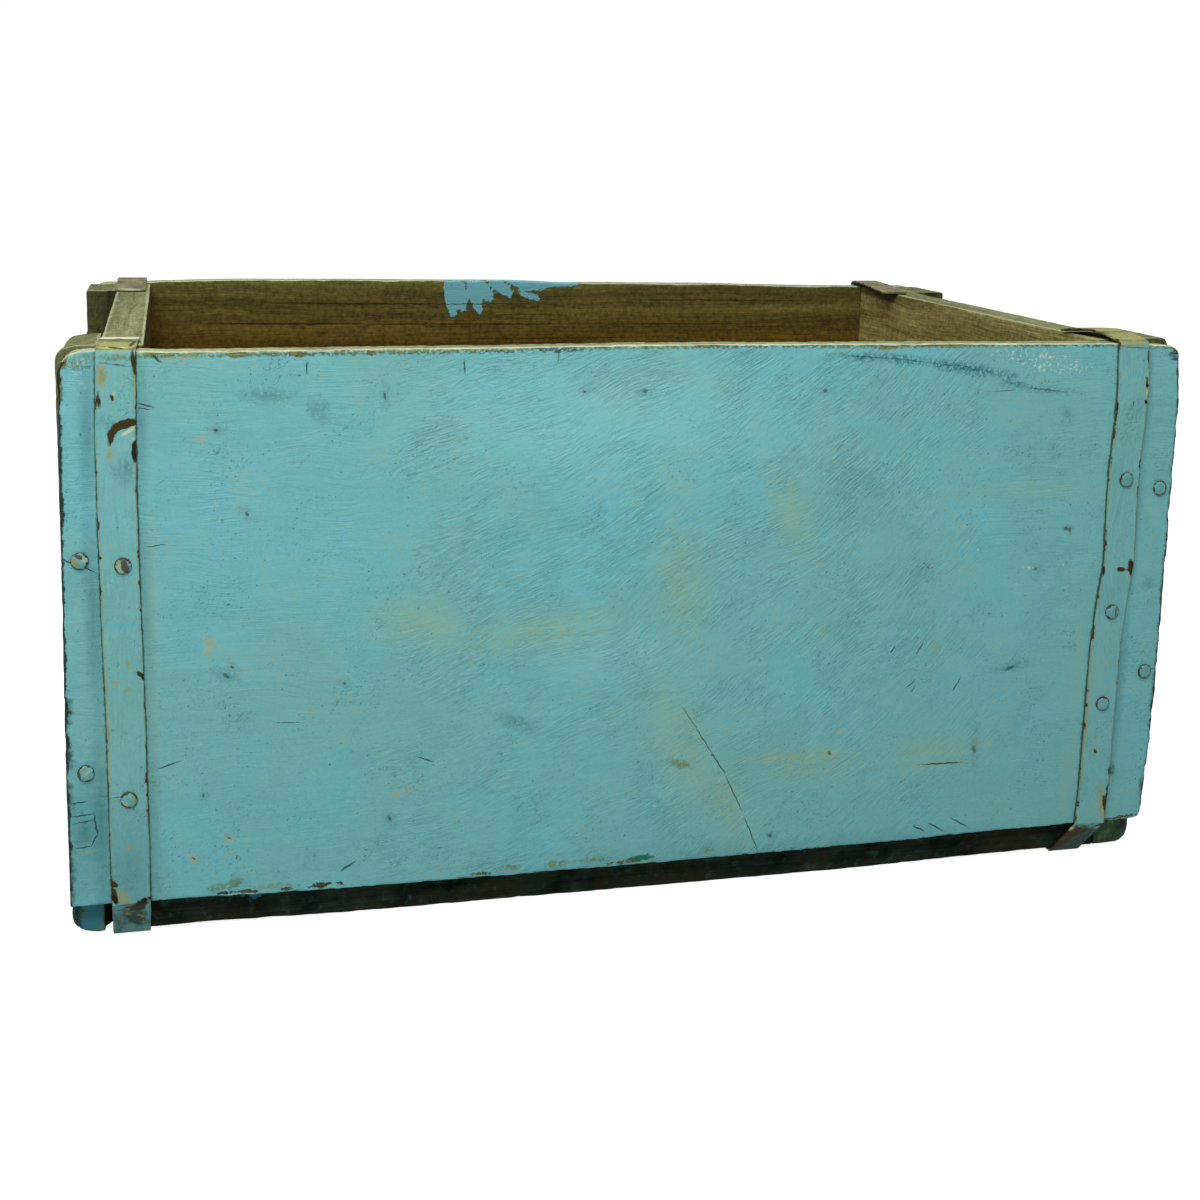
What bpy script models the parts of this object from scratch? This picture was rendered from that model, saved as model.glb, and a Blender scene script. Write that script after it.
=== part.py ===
"""A wooden drink crate: two long side boards, two end panels, corner cleats, bottom boards,
two hoop-iron straps and their nails. Metres, +Z up, +X along the length, front face towards -Y.
The crate stands on its straps, and the origin is the middle of its footprint."""

import math

import bmesh
import bpy
from mathutils import Matrix, Vector

# Side boards
board_length = 0.516
side_board_height = 0.242
side_board_thickness = 0.011
crate_depth = 0.313
board_corner_radius = 0.007

# End panels with their hand slots, and the corner cleats
end_panel_thickness = 0.018
hand_slot_width = 0.096
hand_slot_height = 0.028
hand_slot_below_rim = 0.045
left_cleat_thickness = 0.016
right_cleat_thickness = 0.020
cleat_width = 0.041
cleat_foot_radius = 0.008
cleat_top_radius = 0.004

# Bottom boards
bottom_board_count = 3
bottom_board_thickness = 0.0172
bottom_board_gap = 0.004

# Hoop-iron straps
strap_width = 0.016
strap_thickness = 0.0012
left_front_return = 0.024
left_rear_return = 0.063
right_front_return = 0.044
right_rear_return = 0.070
right_front_lift = 0.0025
rear_fold_lift = 0.0016

# Nails
shank_radius = 0.0014
nail_head_radius = 0.0037
nail_head_height = 0.0013
nail_point_length = 0.004
side_nail_length = 0.038
cleat_nail_bite = 0.012
bottom_nail_length = 0.042

# Fits and finish
seat_gap = 0.0003
hole_clearance = 0.0003
cut_overrun = 0.002
wood_edge_radius = 0.0012
merge_distance = 0.00001

# Places up the side boards, as shares of their height
left_end_nail_shares = (0.633, 0.250)
left_strap_nail_shares = (0.623, 0.198)
right_strap_nail_shares = (0.725, 0.453, 0.260)
right_end_nail_shares = (0.705, 0.321)
cleat_nail_shares = (0.10, 0.88)

# Places across a piece, as shares of its thickness or its width
left_end_nail_share = 0.42
right_end_nail_share = 0.30
left_strap_place_share = 0.43
right_strap_place_share = 0.455
bottom_nail_shares = (0.35, 0.65)
nail_dome_share = 0.65

# How far the right strap strays towards the right end, in strap widths: down its front face, each
# beside a share of the board's height, then at its foot and at the ends of its two folds
right_strap_stray_shares = ((1.0, 0.14), (0.56, 0.21), (0.43, 0.02), (0.11, -0.05), (0.0, -0.22))
right_foot_stray_share = -0.28
right_front_fold_stray_share = -0.40
right_rear_fold_stray_share = -0.56

# Folds on the rim: each pair is a share of the fold's length and a share of its lift
front_fold_shares = ((1.0, 0.0), (0.75, 0.7), (0.5, 1.0), (0.25, 0.65))
rear_fold_shares = ((0.02, 1.0), (0.12, 1.0), (0.4, 0.8), (0.75, 0.25), (1.0, 0.0))

# Facets
nail_sides = 10
dome_steps = 2
corner_steps = 4
edge_steps = 2
bend_steps = 3
slot_end_steps = 10

# Levels and faces that follow from the sizes
bottom_underside = strap_thickness + seat_gap
wall_foot = bottom_underside + bottom_board_thickness + seat_gap
rim = wall_foot + side_board_height
half_length = board_length / 2
half_depth = crate_depth / 2
half_inner_depth = half_depth - side_board_thickness
half_panel_width = half_inner_depth - seat_gap
left_panel_outer = -half_length + left_cleat_thickness + seat_gap
right_panel_outer = half_length - right_cleat_thickness - seat_gap


def clear_scene():
    for old in list(bpy.data.objects):
        bpy.data.objects.remove(old, do_unlink=True)


def new_collection(name):
    collection = bpy.data.collections.new(name)
    bpy.context.scene.collection.children.link(collection)
    return collection


def principled(name, color, roughness):
    material = bpy.data.materials.new(name)
    material.use_nodes = True
    shader = material.node_tree.nodes["Principled BSDF"]
    shader.inputs["Base Color"].default_value = (*color, 1.0)
    shader.inputs["Roughness"].default_value = roughness
    shader.inputs["Metallic"].default_value = 0.0
    material.diffuse_color = (*color, 1.0)
    return material


def painted_board():
    return principled("painted_board", (0.13, 0.36, 0.38), 0.55)


def bare_panel():
    return principled("bare_panel", (0.20, 0.17, 0.09), 0.85)


def painted_cleat():
    return principled("painted_cleat", (0.11, 0.27, 0.26), 0.65)


def grimy_board():
    return principled("grimy_board", (0.03, 0.028, 0.018), 0.9)


def painted_strap():
    return principled("painted_strap", (0.14, 0.35, 0.35), 0.5)


def painted_nail():
    return principled("painted_nail", (0.12, 0.32, 0.33), 0.5)


def finish_mesh(name, shape):
    mesh = bpy.data.meshes.new(name)
    shape.to_mesh(mesh)
    shape.free()
    return mesh


def add_piece(name, mesh, material):
    piece = bpy.data.objects.new(name, mesh)
    pieces.objects.link(piece)
    mesh.materials.append(material)
    return piece


def add_cutter(name, mesh):
    cutter = bpy.data.objects.new(name, mesh)
    cutters.objects.link(cutter)
    cutter.hide_render = True
    cutter.display_type = "WIRE"
    return cutter


def cut(piece, cutter):
    boolean = piece.modifiers.new(cutter.name, "BOOLEAN")
    boolean.operation = "DIFFERENCE"
    boolean.object = cutter


def add_bevel(piece, width, steps, limit):
    bevel = piece.modifiers.new("round", "BEVEL")
    bevel.width = width
    bevel.segments = steps
    bevel.limit_method = limit
    bevel.angle_limit = math.radians(60)


def is_on(vertex, sides):
    """True if a vertex of a centred cube lies on each side whose sign is given, 0 for any."""
    return all(sign * value >= 0 for sign, value in zip(sides, vertex.co))


def board(name, corner, opposite, material, worn_edges=None):
    """A plank between two opposite corners. worn_edges gives the radius of each edge that is
    worn round, under the signs of the two sides that meet there."""
    worn_edges = worn_edges or {}
    low = Vector([min(pair) for pair in zip(corner, opposite)])
    high = Vector([max(pair) for pair in zip(corner, opposite)])
    shape = bmesh.new()
    bmesh.ops.create_cube(shape, size=1.0)
    weight = shape.edges.layers.float.new("bevel_weight_edge")
    for edge in shape.edges:
        for sides, radius in worn_edges.items():
            if all(is_on(vertex, sides) for vertex in edge.verts):
                edge[weight] = radius / max(worn_edges.values())
    bmesh.ops.scale(shape, vec=high - low, verts=shape.verts)
    piece = add_piece(name, finish_mesh(name, shape), material)
    piece.location = (low + high) / 2
    if worn_edges:
        add_bevel(piece, max(worn_edges.values()), corner_steps, "WEIGHT")
    add_bevel(piece, wood_edge_radius, edge_steps, "ANGLE")
    return piece


def side_board(name, facing):
    """A long board, from end to end over the cleats. facing is -1 at the front, 1 at the rear."""
    corner = (-half_length, facing * half_depth, wall_foot)
    opposite = (half_length, facing * half_inner_depth, rim)
    worn_edges = {(-1, 0, 1): board_corner_radius, (1, 0, 1): board_corner_radius}
    return board(name, corner, opposite, board_material, worn_edges)


def end_panel(name, outer, inward):
    """A panel between the side boards. inward is the sign of X from its outer face inwards."""
    inner = outer + inward * end_panel_thickness
    corner = (outer, -half_panel_width, wall_foot)
    opposite = (inner, half_panel_width, rim)
    panel = board(name, corner, opposite, panel_material)
    cut(panel, hand_slot(name + "_hand_slot", (outer + inner) / 2))
    return panel


def hand_slot(name, middle_x):
    """A cutter with round ends, through an end panel along X."""
    radius = hand_slot_height / 2
    reach = hand_slot_width / 2 - radius
    outline = bpy.data.curves.new(name, "CURVE")
    outline.dimensions = "2D"
    outline.fill_mode = "BOTH"
    outline.extrude = end_panel_thickness / 2 + cut_overrun
    spline = outline.splines.new("POLY")
    spline.use_cyclic_u = True
    places = []
    for end in (1, -1):
        for step in range(slot_end_steps + 1):
            angle = math.pi * (step / slot_end_steps - 0.5)
            across = end * (reach + radius * math.cos(angle))
            places.append((across, end * radius * math.sin(angle)))
    spline.points.add(len(places) - 1)
    for point, (across, up) in zip(spline.points, places):
        point.co = (across, up, 0.0, 1.0)
    guide = bpy.data.objects.new(name + "_outline", outline)
    cutters.objects.link(guide)
    middle_z = rim - hand_slot_below_rim - radius
    facing_x = Matrix(((0, 0, 1), (1, 0, 0), (0, 1, 0))).to_4x4()
    guide.matrix_world = Matrix.Translation((middle_x, 0.0, middle_z)) @ facing_x
    bpy.context.view_layer.update()
    evaluated = guide.evaluated_get(bpy.context.evaluated_depsgraph_get())
    shape = bmesh.new()
    shape.from_mesh(bpy.data.meshes.new_from_object(evaluated))
    bmesh.ops.remove_doubles(shape, verts=shape.verts, dist=merge_distance)
    cutter = add_cutter(name, finish_mesh(name, shape))
    cutter.matrix_world = guide.matrix_world
    bpy.data.objects.remove(guide, do_unlink=True)
    return cutter


def cleat(name, end, facing, thickness):
    """An upright batten outside an end panel. end is -1 at the left, facing is -1 at the front."""
    corner = (end * half_length, facing * half_panel_width, bottom_underside)
    opposite = (end * (half_length - thickness), facing * (half_panel_width - cleat_width), rim)
    worn_edges = {(end, 0, -1): cleat_foot_radius, (end, 0, 1): cleat_top_radius}
    return board(name, corner, opposite, cleat_material, worn_edges)


def bottom_board_spans():
    """The near and the far edge, along Y, of each plank that carries the load."""
    all_gaps = bottom_board_gap * (bottom_board_count - 1)
    width = (2 * half_panel_width - all_gaps) / bottom_board_count
    nears = [-half_panel_width + index * (width + bottom_board_gap)
             for index in range(bottom_board_count)]
    return [(near, near + width) for near in nears]


def bottom_boards():
    made = []
    for number, (near, far) in enumerate(bottom_board_spans(), 1):
        corner = (left_panel_outer, near, bottom_underside)
        opposite = (right_panel_outer, far, bottom_underside + bottom_board_thickness)
        made.append(board(f"bottom_board_{number}", corner, opposite, bottom_material))
    return made


def wall_height(share):
    return wall_foot + side_board_height * share


def left_strap_x(height_share):
    """The left strap runs straight, so its middle has one place at every height."""
    return left_panel_outer + end_panel_thickness * left_strap_place_share


def right_strap_x(height_share):
    """The middle of the right strap at a share of the board's height."""
    straight = right_panel_outer - end_panel_thickness * right_strap_place_share
    legs = zip(right_strap_stray_shares, right_strap_stray_shares[1:])
    upper, lower = next(leg for leg in legs if height_share >= leg[1][0])
    between = (height_share - lower[0]) / (upper[0] - lower[0])
    stray = lower[1] + between * (upper[1] - lower[1])
    return straight + stray * strap_width


def rim_bend(face, top):
    """Points of the strap's bend over the front board's top edge, about the edge's own centre."""
    radius = wood_edge_radius + seat_gap
    angles = [math.pi / 2 * (1 + step / bend_steps) for step in range(bend_steps + 1)]
    return [(face + radius + radius * math.cos(angle), top - radius + radius * math.sin(angle))
            for angle in angles]


def strap_stations(side_x, front_return, front_lift, rear_return, strays):
    """The strap's inner face as (x, y, z) stations: on the rim at the front, down the front, in
    under the crate, up the rear and on to the rim again. strays gives the sideways offsets at
    the end of the front fold, at the foot and at the end of the rear fold."""
    front_stray, foot_stray, rear_stray = strays
    top = rim + seat_gap
    face = half_depth + seat_gap
    foot = half_panel_width + seat_gap
    under = bottom_underside - seat_gap
    rim_x = side_x(1.0)
    rest_x = side_x(0.0)
    stations = []
    for along, lift in front_fold_shares:
        y = -half_depth + front_return * along
        stations.append((rim_x + front_stray * along, y, top + front_lift * lift))
    for y, z in rim_bend(-face, top):
        stations.append((rim_x, y, z))
    for height_share, stray_share in right_strap_stray_shares[1:]:
        stations.append((side_x(height_share), -face, wall_height(height_share)))
    stations.append((rest_x + foot_stray, -foot, under))
    stations.append((rest_x, 0.0, under))
    stations.append((rest_x, foot, under))
    stations.append((rest_x, face, wall_foot))
    stations.append((rest_x, face, rim - wood_edge_radius))
    stations.append((rest_x, face, top + rear_fold_lift / 2))
    for along, lift in rear_fold_shares:
        y = half_depth - rear_return * along
        stations.append((rest_x + rear_stray * along, y, top + rear_fold_lift * lift))
    return stations


def strap(name, stations):
    """A ribbon along the stations, given its thickness outwards."""
    shape = bmesh.new()
    points = [shape.verts.new((x - strap_width / 2, y, z)) for x, y, z in stations]
    edges = [shape.edges.new(pair) for pair in zip(points, points[1:])]
    widened = bmesh.ops.extrude_edge_only(shape, edges=edges)["geom"]
    moved = [item for item in widened if isinstance(item, bmesh.types.BMVert)]
    bmesh.ops.translate(shape, vec=(strap_width, 0.0, 0.0), verts=moved)
    piece = add_piece(name, finish_mesh(name, shape), strap_material)
    skin = piece.modifiers.new("gauge", "SOLIDIFY")
    skin.thickness = strap_thickness
    skin.offset = -1.0
    skin.use_even_offset = True
    return piece


def left_strap():
    stations = strap_stations(left_strap_x, left_front_return, 0.0, left_rear_return, (0, 0, 0))
    return strap("left_strap", stations)


def right_strap():
    stray_shares = (right_front_fold_stray_share, right_foot_stray_share,
                    right_rear_fold_stray_share)
    strays = [share * strap_width for share in stray_shares]
    stations = strap_stations(right_strap_x, right_front_return, right_front_lift,
                              right_rear_return, strays)
    return strap("right_strap", stations)


def facing_turn(outward):
    return outward.to_track_quat("Z", "X")


def nail_profile(length):
    """Half outline of a nail, from the crown of its domed head down to its point. The head's
    underside is at height zero."""
    outline = [(0.0, nail_head_height)]
    for step in range(1, dome_steps + 1):
        angle = math.pi / 2 * step / dome_steps
        drop_share = nail_dome_share * (1 - math.cos(angle))
        outline.append((nail_head_radius * math.sin(angle), nail_head_height * (1 - drop_share)))
    outline.append((nail_head_radius, 0.0))
    outline.append((shank_radius, 0.0))
    outline.append((shank_radius, nail_point_length - length))
    outline.append((0.0, -length))
    return outline


def nail(name, seat, outward, length):
    """A turned nail, the underside of its head one seat gap off the point seat."""
    shape = bmesh.new()
    points = [shape.verts.new((radius, 0.0, height)) for radius, height in nail_profile(length)]
    for pair in zip(points, points[1:]):
        shape.edges.new(pair)
    piece = add_piece(name, finish_mesh(name, shape), nail_material)
    piece.location = seat + outward * seat_gap
    piece.rotation_euler = facing_turn(outward).to_euler()
    turn = piece.modifiers.new("turn", "SCREW")
    turn.steps = nail_sides
    turn.render_steps = nail_sides
    turn.use_merge_vertices = True
    turn.merge_threshold = merge_distance


def round_cutter(name, nails, radius, above, below):
    """One cutter with a round bar for each nail, from above its seat to below it."""
    shape = bmesh.new()
    for seat, outward, length in nails:
        middle = seat + outward * (above - below) / 2
        place = Matrix.Translation(middle) @ facing_turn(outward).to_matrix().to_4x4()
        bmesh.ops.create_cone(shape, cap_ends=True, segments=nail_sides, radius1=radius,
                              radius2=radius, depth=above + below, matrix=place)
    return add_cutter(name, finish_mesh(name, shape))


def nail_holes(name, nails):
    longest = max(length for seat, outward, length in nails)
    radius = shank_radius + hole_clearance
    return round_cutter(name, nails, radius, cut_overrun, longest + cut_overrun)


def head_recesses(name, nails):
    radius = nail_head_radius + hole_clearance
    return round_cutter(name, nails, radius, nail_head_height + cut_overrun, 0.0)


def side_nails(facing):
    """The nails of one long side, by row: through the board's ends into the cleats, and through
    the straps into the end panels. Each is its seat, its outward direction and its length."""
    outward = Vector((0.0, facing, 0.0))
    board_y = facing * half_depth
    strap_y = facing * (half_depth + seat_gap + strap_thickness)
    left_x = -half_length + left_cleat_thickness * left_end_nail_share
    right_x = half_length - right_cleat_thickness * right_end_nail_share
    rows = {"left_end": [(left_x, board_y, share) for share in left_end_nail_shares],
            "left_strap": [(left_strap_x(share), strap_y, share)
                           for share in left_strap_nail_shares],
            "right_strap": [(right_strap_x(share if facing < 0 else 0.0), strap_y, share)
                            for share in right_strap_nail_shares],
            "right_end": [(right_x, board_y, share) for share in right_end_nail_shares]}
    return {row: [(Vector((x, y, wall_height(share))), outward, side_nail_length)
                  for x, y, share in places] for row, places in rows.items()}


def cleat_nails(end, thickness):
    """The nails through both cleats of one end into its end panel."""
    outward = Vector((end, 0.0, 0.0))
    middle = half_panel_width - cleat_width / 2
    length = thickness + cleat_nail_bite
    return [(Vector((end * half_length, facing * middle, wall_height(share))), outward, length)
            for facing in (-1, 1) for share in cleat_nail_shares]


def bottom_nails(panel_middle):
    """The nails up through the bottom boards into one end panel, their heads sunk flush."""
    outward = Vector((0.0, 0.0, -1.0))
    sunk = bottom_underside + nail_head_height + seat_gap
    return [(Vector((panel_middle, near + (far - near) * share, sunk)), outward,
             bottom_nail_length)
            for near, far in bottom_board_spans() for share in bottom_nail_shares]


def drive(prefix, nails):
    for number, (seat, outward, length) in enumerate(nails, 1):
        nail(f"{prefix}_nail_{number}", seat, outward, length)


def nail_side(side, facing, pierced):
    """Drive the nails of one long side, and cut their holes in every piece that they pierce."""
    rows = side_nails(facing)
    for row, nails in rows.items():
        drive(f"{side}_{row}", nails)
    holes = nail_holes(side + "_nail_holes", [each for nails in rows.values() for each in nails])
    for piece in pierced:
        cut(piece, holes)


def nail_end(side, end, thickness, panel_outer, cleats, panel, planks):
    """Drive the nails of one end: through its cleats, and up through the bottom boards."""
    through_cleats = cleat_nails(end, thickness)
    drive(side + "_cleat", through_cleats)
    holes = nail_holes(side + "_cleat_nail_holes", through_cleats)
    for piece in (*cleats, panel):
        cut(piece, holes)

    through_bottom = bottom_nails(panel_outer - end * end_panel_thickness / 2)
    drive(side + "_bottom", through_bottom)
    holes = nail_holes(side + "_bottom_nail_holes", through_bottom)
    recesses = head_recesses(side + "_bottom_recesses", through_bottom)
    cut(panel, holes)
    for plank in planks:
        cut(plank, holes)
        cut(plank, recesses)


def build_crate():
    front = side_board("front_board", -1)
    rear = side_board("rear_board", 1)
    left_panel = end_panel("left_end_panel", left_panel_outer, 1)
    right_panel = end_panel("right_end_panel", right_panel_outer, -1)
    front_left = cleat("front_left_cleat", -1, -1, left_cleat_thickness)
    rear_left = cleat("rear_left_cleat", -1, 1, left_cleat_thickness)
    front_right = cleat("front_right_cleat", 1, -1, right_cleat_thickness)
    rear_right = cleat("rear_right_cleat", 1, 1, right_cleat_thickness)
    planks = bottom_boards()
    shared = [left_panel, right_panel, left_strap(), right_strap()]

    nail_side("front", -1, [front, front_left, front_right, *shared])
    nail_side("rear", 1, [rear, rear_left, rear_right, *shared])
    nail_end("left", -1, left_cleat_thickness, left_panel_outer, (front_left, rear_left),
             left_panel, planks)
    nail_end("right", 1, right_cleat_thickness, right_panel_outer, (front_right, rear_right),
             right_panel, planks)


clear_scene()
pieces = new_collection("wooden_drink_crate")
cutters = new_collection("cutters")
board_material = painted_board()
panel_material = bare_panel()
cleat_material = painted_cleat()
bottom_material = grimy_board()
strap_material = painted_strap()
nail_material = painted_nail()
build_crate()
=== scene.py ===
import functools
import math

import bpy
import numpy as np
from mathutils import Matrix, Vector


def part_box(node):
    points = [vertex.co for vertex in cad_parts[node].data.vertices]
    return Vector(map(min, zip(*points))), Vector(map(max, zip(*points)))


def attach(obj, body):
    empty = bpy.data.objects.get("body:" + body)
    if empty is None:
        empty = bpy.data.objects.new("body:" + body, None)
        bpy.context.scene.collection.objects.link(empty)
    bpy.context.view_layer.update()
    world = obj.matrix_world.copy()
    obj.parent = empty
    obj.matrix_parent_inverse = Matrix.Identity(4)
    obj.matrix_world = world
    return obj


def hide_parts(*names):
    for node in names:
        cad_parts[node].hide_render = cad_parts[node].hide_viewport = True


# Looks of the wooden drink crate. Lengths in the tables are millimetres of the crate's own frame:
# X along the length, front face towards -Y, Z up.
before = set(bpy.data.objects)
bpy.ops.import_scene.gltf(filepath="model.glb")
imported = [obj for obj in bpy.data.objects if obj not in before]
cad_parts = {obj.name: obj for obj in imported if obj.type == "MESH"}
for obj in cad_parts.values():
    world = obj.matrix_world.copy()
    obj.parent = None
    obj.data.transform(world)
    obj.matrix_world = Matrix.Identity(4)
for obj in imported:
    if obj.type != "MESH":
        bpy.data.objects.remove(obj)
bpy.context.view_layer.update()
millimetre = 0.001
print("frame loaded")


# Shapes

edgeLineShares = (0.0, 0.16, 0.42, 0.7, 1.0)        # where the lattice lines lie in a rounded edge


def boxOf(node):        # lowest and highest corner of a CAD node, in millimetres
    low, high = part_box(node)
    return np.array(low) / millimetre, np.array(high) / millimetre


def swell(points, size, seed):        # smooth random waves about size across, mostly within -1 to 1
    draw = np.random.default_rng(seed)
    waves = draw.normal(size=(16, 3))
    waves *= (2 * math.pi / size * draw.uniform(0.5, 1.5, 16) / np.linalg.norm(waves, axis=1))[:, None]
    return np.sin(points @ waves.T + draw.uniform(0, 2 * math.pi, 16)).mean(axis=1) * 2.8


def eased(value):
    value = np.clip(value, 0, 1)
    return value * value * (3 - 2 * value)


def latticeLine(low, high, cell, radius):        # close lines in the rounded edges, cell apart between
    edge = radius * np.array(edgeLineShares)
    between = max(1, round((high - low - 2 * radius) / cell))
    inner = np.linspace(low + radius, high - radius, between + 1)[1:-1]
    return np.concatenate([low + edge, inner, high - edge[::-1]])


def latticeSkin(lines):        # points and four-sided faces on the outside of a box lattice
    shape = tuple(len(line) for line in lines)
    outside = np.zeros(shape, bool)
    for axis in range(3):
        np.moveaxis(outside, axis, 0)[[0, -1]] = True
    number = np.full(shape, -1)
    number[outside] = np.arange(outside.sum())
    points = np.stack(np.meshgrid(*lines, indexing="ij"), -1)[outside]
    faces = []
    for axis in range(3):
        for end, turned in ((0, axis != 1), (-1, axis == 1)):
            sheet = np.moveaxis(number, axis, 0)[end]
            corners = [sheet[:-1, :-1], sheet[1:, :-1], sheet[1:, 1:], sheet[:-1, 1:]]
            faces.append(np.stack(corners[::-1] if turned else corners, -1).reshape(-1, 4))
    return points, np.concatenate(faces)


def edgeDistance(points, low, high):        # along the surface to the nearest edge of the box
    return np.sort(np.minimum(points - low, high - points), axis=1)[:, 1]


def roundEdges(points, low, high, radius):        # gives the points and the way each one faces
    inner = np.clip(points, low + radius[:, None], high - radius[:, None])
    outward = points - inner
    outward /= np.linalg.norm(outward, axis=1, keepdims=True)
    return inner + outward * radius[:, None], outward


def roundCorner(points, low, high, sides, radius):        # one long edge worn to a large radius
    axes = [axis for axis in range(3) if sides[axis]]
    signs = np.array([sides[axis] for axis in axes])
    corner = np.array([high[axis] if sides[axis] > 0 else low[axis] for axis in axes])
    centre = corner - signs * radius
    out = (points[:, axes] - centre) * signs
    near = (out > 0).all(axis=1)
    out = out[near]
    out *= out.max(axis=1, keepdims=True) / np.linalg.norm(out, axis=1, keepdims=True)
    moved = points[near]
    moved[:, axes] = centre + out * signs
    points[near] = moved


def addPiece(name, points, faces, material):        # one shaded piece in place of the node of its name
    mesh = bpy.data.meshes.new(name)
    mesh.from_pydata((points * millimetre).tolist(), [], faces)
    mesh.materials.append(material)
    mesh.shade_smooth()
    piece = bpy.data.objects.new(name, mesh)
    bpy.context.scene.collection.objects.link(piece)
    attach(piece, "root")
    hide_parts(name)
    return piece


def keepValue(piece, name, values):        # a number at each point, which the material reads
    kept = piece.data.attributes.new(name, "FLOAT", "POINT")
    kept.data.foreach_set("value", values.astype(np.float32))


markDepth = 6.5        # a mark reaches this far from the face that it lies on
notMarked = -9.0


def markField(points, marks, axes, level):        # millimetres inside the nearest mark on one side
    inside = np.full(len(points), notMarked)
    flat = points[:, axes]
    for u0, v0, u1, v1, halfWidth in marks:
        start, along = np.array((u0, v0)), np.array((u1 - u0, v1 - v0))
        length = np.linalg.norm(along)
        along = along / length if length else np.array((1.0, 0.0))
        local = flat - start - along * length / 2
        share = np.hypot(local @ along / (length / 2 + halfWidth), local @ (-along[1], along[0]) / halfWidth)
        inside = np.maximum(inside, (1 - share) * halfWidth)
    otherAxis = 3 - sum(axes)
    return np.where(np.abs(points[:, otherAxis] - level) < markDepth, inside, notMarked)


def keepMarks(piece, points, look):
    for kind, marks in look.items():
        values = [markField(points, each, axes, level) for axes, level, each in marks]
        keepValue(piece, kind, np.maximum.reduce(values))


def bowTimber(points, high, look):        # tapers, bows and worn stretches of the sides
    for end, start, stop, depth in look.get("tapers", ()):
        share = np.clip((points[:, 2] - start) / (stop - start), 0, 1)
        points[:, 0] -= end * depth * share * np.clip((end * points[:, 0] - high[0] + 20) / 18, 0, 1)
    for edgeZ, reach, route in look.get("bows", ()):        # how far a long edge lies above its straight line
        x, rise = np.array(route).T
        near = np.clip(1 - np.abs(points[:, 2] - edgeZ) / reach, 0, 1)
        points[:, 2] += np.interp(points[:, 0], x, rise) * near
    for corner, reach, shift in look.get("wornSides", ()):        # moves a stretch of a side along x
        near = np.clip(1.6 - 1.6 * np.abs((points - np.array(corner)) / np.array(reach)), 0, 1).min(axis=1)
        points[:, 0] += shift * eased(near)


def hollowsOf(points, edge, look):        # how deep the wood has gone: grain, frayed edges and bites
    seed = look["seed"]
    stretch = np.full(3, 1 / 5)
    stretch[look["grain"]] = 1 / 60
    hollow = 0.06 + 0.05 * swell(points * stretch, 1, seed + 2) + 0.04 * swell(points, 70, seed + 3)
    frayed = np.clip(1 - edge / 2.5, 0, 1)
    fraying = swell(points, 8, seed + 4) + 0.8 * swell(points, 3, seed + 5)
    hollow += frayed * look["fray"] * np.clip(fraying, 0, 2)
    for x, y, z, reach, depth in look.get("bites", ()):
        near = 1 - np.linalg.norm(points - np.array((x, y, z)), axis=1) / reach
        hollow += depth * eased(near * 1.6 + 0.25 * swell(points, reach * 0.8, seed + 6) * (near > -0.3))
    return np.clip(hollow, 0, None)


def timber(node, look, material):        # a board, batten or panel with worn edges and its marks
    low, high = boxOf(node)
    low[0] -= look.get("swollenLow", 0)        # the ends stand a little proud of the plain solid
    high[0] += look.get("swollenHigh", 0)
    radius, seed = look["edgeRadius"], look["seed"]
    lines = [latticeLine(low[axis], high[axis], look["cell"], radius) for axis in range(3)]
    points, faces = latticeSkin(lines)
    edge = edgeDistance(points, low, high)
    endGap = np.minimum(points[:, 0] - low[0], high[0] - points[:, 0])
    wear = np.clip(0.55 + 0.35 * swell(points, 38, seed) + 0.2 * swell(points, 9, seed + 1), 0.2, 1)
    points, outward = roundEdges(points, low, high, radius * wear)
    for sides, cornerRadius in look.get("wornCorners", {}).items():
        roundCorner(points, low, high, sides, cornerRadius)
    bowTimber(points, high, look)
    points -= outward * hollowsOf(points, edge, look)[:, None]

    piece = addPiece(node, points, faces.tolist(), material)
    keepValue(piece, "edge", edge)
    keepValue(piece, "endGap", endGap)
    keepMarks(piece, points, look.get("marks", {}))
    if "besideStraps" in look:
        gaps = [np.abs(points[:, 0] - strapMiddle(route, points[:, 2])) for route in look["besideStraps"]]
        keepValue(piece, "strapGap", np.minimum.reduce(gaps) - strapHalfWidth)
    return piece


# Materials

def linear(hexColour):        # an sRGB hex value as the linear colour that a socket takes
    parts = [int(hexColour[place:place + 2], 16) / 255 for place in (1, 3, 5)]
    return (*(part / 12.92 if part <= 0.04045 else ((part + 0.055) / 1.055) ** 2.4 for part in parts), 1.0)


def addNode(tree, kind, *inputs, pick=None, **settings):        # inputs in order, or one dict by name
    node = tree.nodes.new("ShaderNode" + kind)
    for setting, value in settings.items():
        setattr(node, setting, value)
    usable = [socket for socket in node.inputs if socket.enabled]
    pairs = zip(usable, inputs)
    if inputs and isinstance(inputs[0], dict):
        byName = {socket.name: socket for socket in usable}
        pairs = [(byName[name], value) for name, value in inputs[0].items()]
    for socket, value in pairs:
        if isinstance(value, bpy.types.NodeSocket):
            tree.links.new(value, socket)
        elif isinstance(value, str):
            socket.default_value = linear(value)
        else:
            socket.default_value = value
    if pick:
        return node.outputs[pick]
    return next((socket for socket in node.outputs if socket.enabled), None)


def nodeAdder(owner):        # what adds nodes to a material or a world, emptied first
    owner.use_nodes = True
    owner.node_tree.nodes.clear()
    return functools.partial(addNode, owner.node_tree)


def startMaterial(name):        # the adder of nodes, and the place on the crate in millimetres
    material = bpy.data.materials.new(name)
    add = nodeAdder(material)
    place = add("VectorMath", add("TexCoord", pick="Object"), 1 / millimetre, operation="SCALE")
    return material, add, place


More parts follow.
